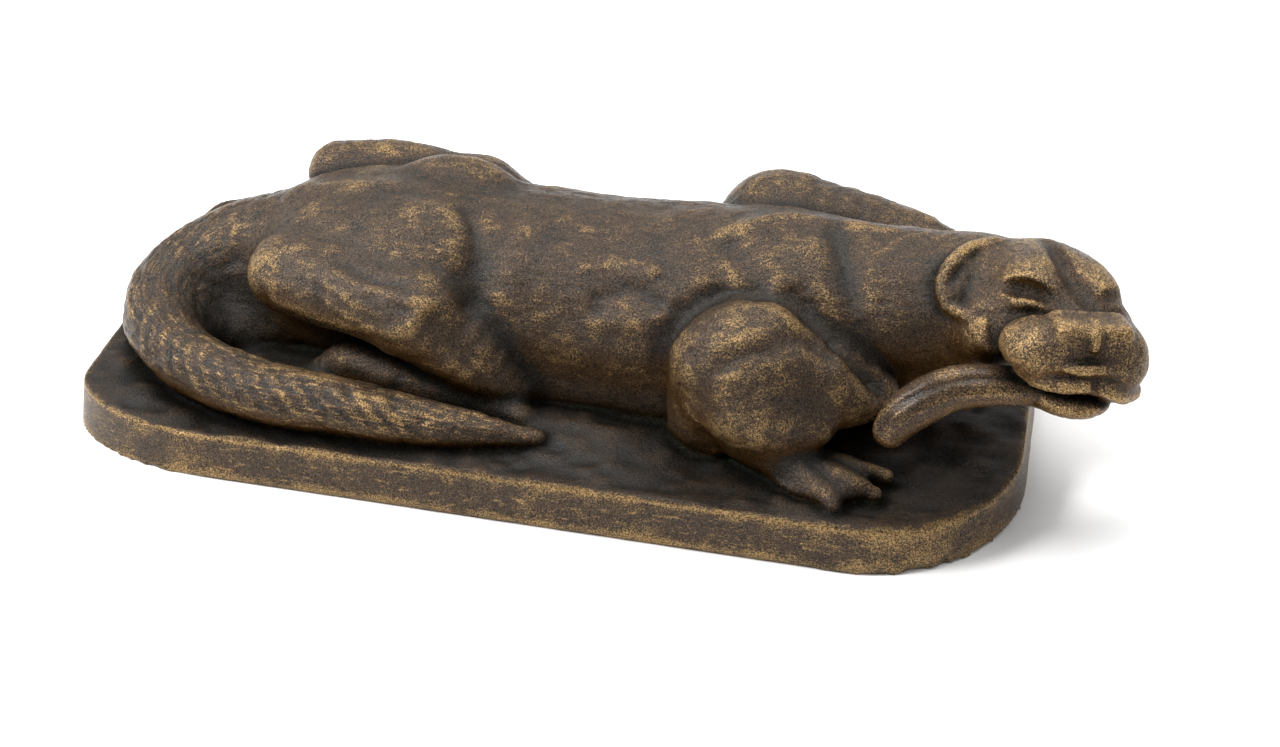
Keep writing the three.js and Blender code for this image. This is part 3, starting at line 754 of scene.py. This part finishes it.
# Layers of grooves between locks: depth, length and width of a lock, and seed.
BODY_LOCKS = ((0.26, 13, 3, 11), (0.2, 8, 2.1, 13))
TAIL_FUR_LOCKS = ((0.6, 16, 3.8, 21), (0.3, 10, 2.4, 23))
HEAD_LOCKS = ((0.22, 8, 2.2, 31), (0.12, 5, 1.5, 33))
# A groove's sharpness, and the share and fineness of its second noise.
GROOVE_SHARP = 0.16
GROOVE_SHARE = 0.35
GROOVE_FINER = 2.1
# How far the body's fur turns across and up, and how the tail's fur slants over its height and length.
FUR_TURN = 0.35
FUR_CLIMB = 0.12
TAIL_SLANT = 0.6
TAIL_CLIMB = 0.25
TAIL_STATIONS = 67
# How many points are compared with the tail's line at a time.
BLOCK = 20000


def rough(points, layers):
    """The sum of layers of noise."""
    return sum(rise * lattice_noise(points / np.array(size), seed) for rise, size, seed in layers)


def tail_chart(points):
    """Distance along the tail and the two offsets from its middle line."""
    line = along(TAIL, np.linspace(0, len(TAIL) - 1, TAIL_STATIONS))[:, :3]
    steps = np.linalg.norm(np.diff(line, axis=0), axis=1)
    length = np.concatenate([[0], np.cumsum(steps)])
    nearest = np.empty(len(points), int)
    for start in range(0, len(points), BLOCK):
        block = points[start : start + BLOCK]
        gap = ((block[:, None, :] - line[None]) ** 2).sum(axis=2)
        nearest[start : start + BLOCK] = gap.argmin(axis=1)
    tangent = np.gradient(line, axis=0)
    tangent /= np.linalg.norm(tangent, axis=1)[:, None]
    t = tangent[nearest]
    offset = points - line[nearest]
    run = (offset * t).sum(axis=1)
    side = np.cross(t, (0, 0, 1))
    side /= np.linalg.norm(side, axis=1)[:, None]
    beside = (offset * side).sum(axis=1)
    slanted = length[nearest] + run - TAIL_SLANT * offset[:, 2]
    return np.stack([slanted, beside, offset[:, 2] + TAIL_CLIMB * run], axis=1)


def head_chart(points):
    """The head's own directions for fur."""
    return (points - np.array(HEAD_EYES)) @ HEAD_AXES.T


def body_chart(points):
    """The body's own directions for fur, bent gently as the strokes of a brush wander."""
    bend = rough(points, FUR_BEND)
    lean = rough(points, FUR_LEAN)
    x, y, z = points.T
    across = y * np.cos(bend) - x * np.sin(bend) * FUR_TURN
    upward = z + lean - x * FUR_CLIMB
    return np.stack([x + lean, across, upward], axis=1)


def grooves(chart, length, width, seed):
    """Narrow grooves between locks of a given length and width: 1 in a groove and 0 on a lock."""
    place = chart / np.array([length, width, width])
    value = lattice_noise(place, seed) + GROOVE_SHARE * lattice_noise(place * GROOVE_FINER, seed + 1)
    return np.exp(-((value / GROOVE_SHARP) ** 2))


def locks(chart, layers):
    """The height of layers of locks, which is 0 on a lock and falls in the grooves."""
    return sum(-depth * grooves(chart, length, width, seed) for depth, length, width, seed in layers)


def tail_locks():
    """Strokes for the slanting locks on the tail's front."""
    up = np.array((0, 0, 1))
    ahead = 0.05
    angles = np.radians(TAIL_LOCKS["angles"])[:, None]
    strokes = []
    for first in np.linspace(TAIL_LOCKS["first"], TAIL_LOCKS["last"], TAIL_LOCKS["count"]):
        rows = first + TAIL_LOCKS["run"] * np.array(TAIL_LOCK_BENDS)
        rings = along(TAIL, rows)
        front = np.cross((along(TAIL, rows + ahead) - rings)[:, :3], up)
        front /= np.linalg.norm(front, axis=1)[:, None]
        points = rings[:, :3] + rings[:, 3:] * (front * np.sin(angles) + up * np.cos(angles))
        strokes.append((points, *TAIL_LOCK_STROKE))
    return strokes


# How much fainter the lumps are on the head, and the earth at the plinth's rim.
HEAD_CALM = 0.75
RIM_CALM = 0.5
RIM_BAND = (1, 9)
# Normals that count as facing up, and heights where the plinth's flat underside ends.
FACING_UP = (0.5, 0.9)
UNDERSIDE_BAND = (0.2, 1.5)


def fur_height(local, normals, charts, weights, depth):
    """The height of the fur's strokes and of the modelled ground over the plain forms."""
    body, tail_fur, head_fur = charts
    plinth, tail, head, fish = weights
    on_body = depth * locks(body, BODY_LOCKS)
    on_tail = depth * locks(tail_fur, TAIL_FUR_LOCKS)
    on_head = depth * locks(head_fur, HEAD_LOCKS)
    height = on_body + (on_tail - on_body) * tail
    height = height + (on_head - height) * head
    height = height + rough(local, LUMPS) * (1 - HEAD_CALM * head)
    height = height * (1 - fish) + rough(local, FISH_SKIN) * fish
    for rows, width, rise in (*STROKES, *tail_locks()):
        gap = Limb([(*row, 0) for row in rows]).distance(local)
        height += rise * np.exp(-((gap / width) ** 2))
    upward = smooth(normals[:, 2], *FACING_UP)
    inland = -outline_distance(local[:, 0], local[:, 1], PLINTH_LEAN)
    earth = rough(local, EARTH) * (1 - RIM_CALM + RIM_CALM * smooth(inland, *RIM_BAND))
    side = rough(local, SIDE_SKIN)
    height = height + (earth * upward + side * (1 - upward) - height) * plinth
    return height * smooth(local[:, 2] + PLINTH_HEIGHT, *UNDERSIDE_BAND)


# The half width of the rubbed band on the plinth's upper edge.
RIM_WIDTH = 0.9
# Where the skin passes from one region to the next, in millimetres.
PLINTH_BORDER = (-0.8, 1.2)
TAIL_BORDER = (1.5, 9)
TAIL_ROOT_X = (92, 138)
TAIL_FRONT_Y = (48, 56)
TAIL_TIP_X = (-20, 20)
HEAD_BORDERS = ((128, 146), (8, 22), (-24, -14))
FISH_BORDER = (0.3, 1.2)


def rim_weight(points):
    """How near each point is to the plinth's upper edge, from 0 to 1."""
    x, y, z = points.T
    side = outline_distance(x, y, PLINTH_LEAN)
    return np.exp(-((side / RIM_WIDTH) ** 2) - ((z - ground_height(x, y)) / RIM_WIDTH) ** 2)


def region_weights(points):
    """How far each point belongs to the plinth, the tail, the head and the fish, from 0 to 1."""
    x, y, z = points.T
    plinth = smooth(otter_distance(points) - plinth_distance(points), *PLINTH_BORDER)
    tail = 1 - smooth(np.abs(TAIL_FORM.distance(points)), *TAIL_BORDER)
    tail *= smooth(-x, *TAIL_ROOT_X) + smooth(-y, *TAIL_FRONT_Y) * smooth(-x, *TAIL_TIP_X)
    along_x, upward, across = HEAD_BORDERS
    head = smooth(x, *along_x) * smooth(z, *upward) * smooth(-y, *across)
    fish = 1 - smooth(np.abs(FISH_FORM.distance(points)), *FISH_BORDER)
    return plinth, np.clip(tail, 0, 1), head, np.clip(fish, 0, 1)


def close_underside(mesh):
    """Replaces the lattice's small faces on the underside by one face."""
    bm = bmesh.new()
    bm.from_mesh(mesh)
    flat = 0.02 * MM
    under = [face for face in bm.faces if all(vert.co.z < flat for vert in face.verts)]
    bmesh.ops.delete(bm, geom=under, context="FACES")
    rim = [edge for edge in bm.edges if edge.is_boundary]
    bmesh.ops.holes_fill(bm, edges=rim, sides=0)
    bm.to_mesh(mesh)
    bm.free()


class OtterFinish(bpy.types.PropertyGroup):
    """Sizes and colours of the bronze."""

    fur_depth: bpy.props.FloatProperty(
        name="Fur depth", description="Depth of the grooves between the locks of fur, as a share",
        default=1.0, subtype="FACTOR",
    )
    grain_depth: bpy.props.FloatProperty(
        name="Grain depth", description="Depth of the casting's grain", default=0.5 * MM, unit="LENGTH"
    )
    patina: bpy.props.FloatVectorProperty(
        name="Patina", description="Dark slate brown of the patina", subtype="COLOR", size=3,
        default=(0.019, 0.016, 0.0125),
    )
    brown: bpy.props.FloatVectorProperty(
        name="Brown", description="Lighter brown of the patina", subtype="COLOR", size=3,
        default=(0.054, 0.034, 0.020),
    )
    # The warm amber is painted shade on the undersides that face down.
    painted_underside_shade: bpy.props.FloatVectorProperty(
        name="Amber", description="Warm brown of the undersides", subtype="COLOR", size=3,
        default=(0.080, 0.036, 0.007),
    )
    gold: bpy.props.FloatVectorProperty(
        name="Rubbed bronze", description="Bare bronze on the high places", subtype="COLOR", size=3,
        default=(0.28, 0.18, 0.078),
    )
    verdigris: bpy.props.FloatVectorProperty(
        name="Verdigris", description="Green in the deep places", subtype="COLOR", size=3,
        default=(0.020, 0.045, 0.025),
    )


class OtterStage(bpy.types.PropertyGroup):
    """The camera, the lights and the floor."""

    azimuth: bpy.props.FloatProperty(
        name="Azimuth", description="Camera angle round the piece", default=math.radians(12.8),
        subtype="ANGLE",
    )
    elevation: bpy.props.FloatProperty(
        name="Elevation", description="Camera angle above the floor", default=math.radians(36.3),
        subtype="ANGLE",
    )
    distance: bpy.props.FloatProperty(
        name="Distance", description="Camera to the middle of the view", default=0.7698, unit="LENGTH"
    )
    lens: bpy.props.FloatProperty(
        name="Lens", description="Focal length in millimetres", default=57.375, unit="CAMERA"
    )
    softbox_power: bpy.props.FloatProperty(
        name="Softbox power", description="Power of the wide lamp above", default=8.0, unit="POWER"
    )
    glint_power: bpy.props.FloatProperty(
        name="Glint power", description="Power of the small lamp at the side", default=13.0, unit="POWER"
    )
    floor_color: bpy.props.FloatVectorProperty(
        name="Floor", description="Colour of the floor", subtype="COLOR", size=3,
        default=(0.86, 0.86, 0.86),
    )


def put_attribute(mesh, name, values):
    """Keeps one number for each vertex."""
    layer = mesh.attributes.new(name, "FLOAT", "POINT")
    layer.data.foreach_set("value", np.asarray(values, np.float32))


def put_vector(mesh, name, values):
    """Keeps one vector for each vertex."""
    layer = mesh.attributes.new(name, "FLOAT_VECTOR", "POINT")
    layer.data.foreach_set("vector", np.asarray(values, np.float32).ravel())


# How hollow a place is: the heights over the skin where the field is felt, with their shares.
HOLLOW_PROBES = ((1.5, 0.35), (4, 0.35), (9, 0.3))
HOLLOW_REACH = 14
# Rounds of smoothing that crests and ridges stand out from.
FINE_ROUNDS = 6
BROAD_ROUNDS = 40


class OTTER_OT_casting(bpy.types.Operator):
    """Model the otter, its fish and the plinth as one skin"""

    bl_idname = "otter.casting"
    bl_label = "Casting"

    def execute(self, context):
        finish = context.scene.otter_finish
        vertices, quads = casting_skin()
        normals = gradient(vertices)
        normals /= np.maximum(np.linalg.norm(normals, axis=1), 1e-6)[:, None]
        local = vertices - (0, 0, PLINTH_HEIGHT)
        weights = region_weights(local)
        charts = (body_chart(local), tail_chart(local), head_chart(local))
        hollow = np.zeros(len(vertices))
        for height, share in HOLLOW_PROBES:
            rise = casting_distance(vertices + normals * height, HOLLOW_REACH)
            hollow += share * np.clip(1 - rise / height, 0, 1)
        height = fur_height(local, normals, charts, weights, finish.fur_depth)
        vertices = vertices + normals * height[:, None]
        fine = smoothed(vertices, quads, FINE_ROUNDS)
        broad = smoothed(fine, quads, BROAD_ROUNDS)
        crest = ((vertices - fine) * normals).sum(axis=1)
        ridge = ((vertices - broad) * normals).sum(axis=1)
        mesh = bpy.data.meshes.new("otter_casting")
        mesh.from_pydata((vertices * MM).tolist(), [], quads.tolist())
        mesh.shade_smooth()
        put_attribute(mesh, "hollow", hollow)
        put_attribute(mesh, "ridge", ridge)
        put_attribute(mesh, "crest", crest)
        put_attribute(mesh, "facing_up", normals[:, 2])
        put_attribute(mesh, "rim", rim_weight(local))
        for name, weight in zip(("on_plinth", "on_tail", "on_head", "on_fish"), weights):
            put_attribute(mesh, name, weight)
        for name, chart in zip(("body_fur", "tail_fur", "head_fur"), charts):
            put_vector(mesh, name, chart * MM)
        close_underside(mesh)
        piece = bpy.data.objects.new("otter_casting", mesh)
        context.scene.collection.objects.link(piece)
        mesh.materials.append(bronze_material(finish))
        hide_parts(NODE)
        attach(piece, "root")
        return {"FINISHED"}


class Wiring:
    """Adds nodes to a material and links their sockets."""

    def __init__(self, tree):
        self.tree = tree

    def node(self, kind, inputs=(), **settings):
        """A node with its settings, and with each input linked or set."""
        node = self.tree.nodes.new(kind)
        for name, value in settings.items():
            setattr(node, name, value)
        for name, value in dict(inputs).items():
            if isinstance(value, bpy.types.NodeSocket):
                self.tree.links.new(value, node.inputs[name])
            else:
                node.inputs[name].default_value = value
        return node

    def attribute(self, name, output="Fac"):
        return self.node("ShaderNodeAttribute", attribute_name=name).outputs[output]

    def math(self, operation, a, b=0.0):
        return self.node("ShaderNodeMath", {0: a, 1: b}, operation=operation).outputs[0]

    def weighted(self, *terms):
        """The sum of values, each times its weight."""
        total = 0.0
        for value, weight in terms:
            total = self.node("ShaderNodeMath", {0: value, 1: weight, 2: total}, operation="MULTIPLY_ADD")
            total = total.outputs[0]
        return total

    def ramp(self, value, low, high, least=0.0, most=1.0):
        """Rises smoothly from the least to the most between two values."""
        inputs = {"Value": value, "From Min": low, "From Max": high, "To Min": least, "To Max": most}
        return self.node("ShaderNodeMapRange", inputs, interpolation_type="SMOOTHSTEP").outputs[0]

    def noise(self, vector, size, detail, roughness, distortion=0.0):
        """Noise whose features have the given sizes along the vector's axes, in millimetres."""
        scale = [1 / (length * MM) for length in size]
        sized = self.node("ShaderNodeMapping", {"Vector": vector, "Scale": scale}).outputs[0]
        inputs = {
            "Vector": sized,
            "Scale": 1.0,
            "Detail": detail,
            "Roughness": roughness,
            "Distortion": distortion,
        }
        return self.node("ShaderNodeTexNoise", inputs).outputs["Fac"]

    def blend(self, factor, a, b):
        """Blends two numbers."""
        return self.node("ShaderNodeMix", {0: factor, 2: a, 3: b}, data_type="FLOAT").outputs[0]

    def tint(self, factor, a, b):
        """Blends two colours."""
        node = self.node("ShaderNodeMix", {"Factor": factor}, data_type="RGBA")
        for socket, value in ((node.inputs[6], a), (node.inputs[7], b)):
            if isinstance(value, bpy.types.NodeSocket):
                self.tree.links.new(value, socket)
            else:
                socket.default_value = (*value, 1)
        return node.outputs[2]


# Noise of the finish: feature sizes in millimetres, detail, roughness and distortion.
BODY_STREAKS = ((5, 1, 1), 3, 0.6, 0.3)
TAIL_STREAKS = ((9, 1, 1), 3, 0.6, 0.3)
HEAD_STREAKS = ((4.5, 0.9, 0.9), 3, 0.6, 0.3)
SCRATCHES = ((3.5, 2.5, 0.9), 4, 0.7, 0.5)
GRAIN = ((0.55, 0.55, 0.55), 2, 0.8)
PITTING = ((1.4, 1.4, 1.4), 3, 0.75)
BLOTCHES = ((14, 14, 14), 4, 0.6, 0.6)
CLOUDS = ((45, 45, 45), 2, 0.5)
FLECKS = ((7, 7, 2.2), 6, 0.85, 0.4)
# The heights between which the skin turns darker towards the bottom, in metres.
DARKENING_HEIGHTS = (36 * MM, 22 * MM)
# How far the skin stands out where it is broadly ridged, and finely crested, in millimetres.
RIDGE_SPAN = (-1.2, 1.6)
CREST_SPAN = (-0.25, 0.3)
# The wear that rubs the patina down to bare bronze, and the wear that turns it brown.
RUBBED_WEAR = (2.47, 3.15, 0, 0.9)
BROWNED_WEAR = (1.75, 2.55)
# How strongly the undersides get the amber painted shade.
UNDERSIDE_SHADE_SHARE = 0.75
GREEN_SHARE = 0.3
BRONZE_IOR = 1.45


def bronze_material(finish):
    """Dark patina, rubbed to bare bronze on the high places and streaked along the fur, with painted shade
    in the hollows, on the ground and on the undersides and painted light on the head.
    """
    material = bpy.data.materials.new("patinated_bronze")
    material.use_nodes = True
    w = Wiring(material.node_tree)
    shader = material.node_tree.nodes["Principled BSDF"]
    hollow = w.attribute("hollow")
    facing_up = w.attribute("facing_up")
    rim = w.attribute("rim")
    ridge = w.ramp(w.attribute("ridge"), *RIDGE_SPAN)
    crest = w.ramp(w.attribute("crest"), *CREST_SPAN)
    on_plinth = w.attribute("on_plinth")
    on_tail = w.attribute("on_tail")
    on_head = w.attribute("on_head")
    on_fish = w.attribute("on_fish")
    place = w.node("ShaderNodeTexCoord").outputs["Object"]

    streaks = w.noise(w.attribute("body_fur", "Vector"), *BODY_STREAKS)
    streaks = w.blend(on_tail, streaks, w.noise(w.attribute("tail_fur", "Vector"), *TAIL_STREAKS))
    streaks = w.blend(on_head, streaks, w.noise(w.attribute("head_fur", "Vector"), *HEAD_STREAKS))
    streaks = w.blend(on_plinth, streaks, w.noise(place, *SCRATCHES))
    grain = w.noise(place, *GRAIN)
    pitting = w.noise(place, *PITTING)
    blotches = w.noise(place, *BLOTCHES)
    clouds = w.noise(place, *CLOUDS)

    upright = w.math("MULTIPLY", w.ramp(facing_up, 0.6, 0.3), on_plinth)
    flecks = w.ramp(w.noise(place, *FLECKS), 0.55, 0.62, 0, 0.85)
    flecks = w.math("MULTIPLY", flecks, upright)
    height = w.node("ShaderNodeSeparateXYZ", {0: place}).outputs[2]
    # Darker towards the bottom, but not on the tail or the plinth's sides.
    low = w.math("MULTIPLY", w.ramp(height, *DARKENING_HEIGHTS), w.math("SUBTRACT", 1.0, on_tail))
    low = w.math("MULTIPLY", low, w.math("SUBTRACT", 1.0, upright))
    on_locks = w.math("MULTIPLY", on_tail, w.math("SUBTRACT", streaks, 0.5))
    wear = w.weighted(
        (streaks, 0.6), (grain, 1.2), (pitting, 0.35), (blotches, 1.3), (ridge, 0.4), (crest, 0.4),
        (hollow, -0.7), (clouds, 0.5), (on_locks, 1.8), (on_tail, -0.14), (on_head, 0.2),
        (on_fish, -0.2), (upright, 0.12), (low, -0.22), (on_plinth, -0.05), (rim, 0.7),
    )
    rubbed = w.math("MAXIMUM", w.ramp(wear, *RUBBED_WEAR), flecks)
    browned = w.ramp(wear, *BROWNED_WEAR)
    ground = w.math("MULTIPLY", w.ramp(facing_up, *FACING_UP), on_plinth)
    # Undersides that face down: tinted warm amber as painted shade, and given more metal.
    under = w.math("MULTIPLY", w.ramp(facing_up, 0.35, -0.35), w.math("SUBTRACT", 1.0, on_plinth))
    green = w.math("MULTIPLY", w.ramp(hollow, 0.4, 0.75), w.ramp(clouds, 0.5, 0.68))

    color = w.tint(browned, tuple(finish.patina), tuple(finish.brown))
    color = w.tint(w.math("MULTIPLY", under, UNDERSIDE_SHADE_SHARE), color, tuple(finish.painted_underside_shade))
    color = w.tint(w.math("MULTIPLY", green, GREEN_SHARE), color, tuple(finish.verdigris))
    color = w.tint(rubbed, color, tuple(finish.gold))
    speckle = w.ramp(grain, 0.33, 0.67, 0.15, 1.7)
    # The grain's speckle, darkened in the hollows as dark patina there and as painted shade.
    grain_and_painted_shading = w.math("MULTIPLY", speckle, w.ramp(hollow, 0.12, 0.85, 1.0, 0.25))
    # Painted light and shade: the ground darker as painted shade, the head and the plinth's sides lighter
    # as painted light, and darker towards the bottom.
    lit = w.weighted((ground, -0.3), (low, -0.12), (on_head, 0.22), (upright, 0.15), (1.0, 1.0))
    grain_and_painted_shading = w.math("MULTIPLY", grain_and_painted_shading, lit)
    color = w.node("ShaderNodeVectorMath", {0: color, 1: grain_and_painted_shading}, operation="MULTIPLY").outputs[0]
    roughness = w.weighted(
        (pitting, 0.25), (blotches, 0.35), (hollow, 0.3), (rubbed, 0.08), (on_fish, -0.12)
    )
    shader.inputs["IOR"].default_value = BRONZE_IOR
    for name, value in (
        ("Base Color", color),
        ("Metallic", w.weighted((rubbed, 0.55), (under, 0.3), (browned, 0.15))),
        ("Roughness", roughness),
        ("Specular IOR Level", w.ramp(hollow, 0.05, 0.5, 0.27, 0.03)),
    ):
        w.tree.links.new(value, shader.inputs[name])

    relief = w.weighted((streaks, 0.4), (pitting, 0.35), (grain, 0.6))
    relief = w.math("MULTIPLY", relief, w.ramp(on_fish, 0, 1, 1, 0.45))
    bump = w.node("ShaderNodeBump", {"Height": relief, "Distance": finish.grain_depth, "Strength": 1.0})
    w.tree.links.new(bump.outputs[0], shader.inputs["Normal"])
    return material


# The floor, the camera's aim and body, and the lamps, in metres.
FLOOR_SIZE = 6
FLOOR_ROUGHNESS = 0.9
VIEW_TARGET = Vector((0.0235, 0.0105, 0))
SENSOR_WIDTH = 36
CLIP_START = 0.01
SOFTBOX_SIZE = (1.0, 0.6)
SOFTBOX_PLACE = Vector((0.15, 0.25, 0.95))
GLINT_SIZE = (0.3, 0.3)
GLINT_PLACE = VIEW_TARGET + Vector((-0.69, -0.24, 0.68)) * 1.1
# The studio's light: how much it leans to each axis, and its limits and strengths.
LIGHT_LEAN = (-0.15, 0.5, 0.8)
LIGHT_SPAN = (-0.4, 0.9, 0.14, 0.95)


def add_lamp(scene, name, size, power, place):
    """An area lamp that is aimed at the middle of the view."""
    data = bpy.data.lights.new(name, "AREA")
    data.shape = "RECTANGLE"
    data.size, data.size_y = size
    data.energy = power
    lamp = bpy.data.objects.new(name, data)
    lamp.location = place
    lamp.rotation_euler = (VIEW_TARGET - place).to_track_quat("-Z", "Y").to_euler()
    scene.collection.objects.link(lamp)


class OTTER_OT_stage(bpy.types.Operator):
    """Set the floor, the soft studio light and the camera"""

    bl_idname = "otter.stage"
    bl_label = "Stage"

    def execute(self, context):
        stage = context.scene.otter_stage
        bpy.ops.mesh.primitive_plane_add(size=FLOOR_SIZE)
        floor = context.object
        floor.name = "floor"
        material = bpy.data.materials.new("floor")
        material.use_nodes = True
        shader = material.node_tree.nodes["Principled BSDF"]
        shader.inputs["Base Color"].default_value = (*stage.floor_color, 1)
        shader.inputs["Roughness"].default_value = FLOOR_ROUGHNESS
        floor.data.materials.append(material)

        world = bpy.data.worlds.new("studio")
        world.use_nodes = True
        w = Wiring(world.node_tree)
        direction = w.node("ShaderNodeTexCoord").outputs["Generated"]
        axes = w.node("ShaderNodeSeparateXYZ", {0: direction}).outputs
        light = w.ramp(w.weighted(*zip(axes, LIGHT_LEAN)), *LIGHT_SPAN)
        w.tree.links.new(light, w.tree.nodes["Background"].inputs["Strength"])
        w.tree.nodes["Background"].inputs["Color"].default_value = (1, 1, 1, 1)
        context.scene.world = world

        back = Vector(
            (
                math.sin(stage.azimuth) * math.cos(stage.elevation),
                -math.cos(stage.azimuth) * math.cos(stage.elevation),
                math.sin(stage.elevation),
            )
        )
        add_lamp(context.scene, "softbox", SOFTBOX_SIZE, stage.softbox_power, SOFTBOX_PLACE)
        add_lamp(context.scene, "glint", GLINT_SIZE, stage.glint_power, GLINT_PLACE)

        camera_data = bpy.data.cameras.new("camera")
        camera_data.sensor_width = SENSOR_WIDTH
        camera_data.lens = stage.lens
        camera_data.clip_start = CLIP_START
        camera = bpy.data.objects.new("camera", camera_data)
        camera.location = VIEW_TARGET + back * stage.distance
        camera.rotation_euler = (-back).to_track_quat("-Z", "Y").to_euler()
        context.scene.collection.objects.link(camera)
        context.scene.camera = camera
        context.scene.view_settings.view_transform = "Standard"
        return {"FINISHED"}


class OTTER_PT_panel(bpy.types.Panel):
    """Lists the pieces and the stage"""

    bl_label = "Bronze otter"
    bl_idname = "OTTER_PT_panel"
    bl_space_type = "VIEW_3D"
    bl_region_type = "UI"
    bl_category = "Otter"

    def draw(self, context):
        layout = self.layout
        layout.operator("otter.casting")
        layout.operator("otter.stage")


CLASSES = (OtterFinish, OtterStage, OTTER_OT_casting, OTTER_OT_stage, OTTER_PT_panel)


def register():
    for cls in CLASSES:
        bpy.utils.register_class(cls)
    bpy.types.Scene.otter_finish = bpy.props.PointerProperty(type=OtterFinish)
    bpy.types.Scene.otter_stage = bpy.props.PointerProperty(type=OtterStage)


def unregister():
    del bpy.types.Scene.otter_stage
    del bpy.types.Scene.otter_finish
    for cls in reversed(CLASSES):
        bpy.utils.unregister_class(cls)


def main():
    register()
    bpy.ops.otter.stage()
    bpy.ops.otter.casting()


if __name__ == "__main__":
    main()
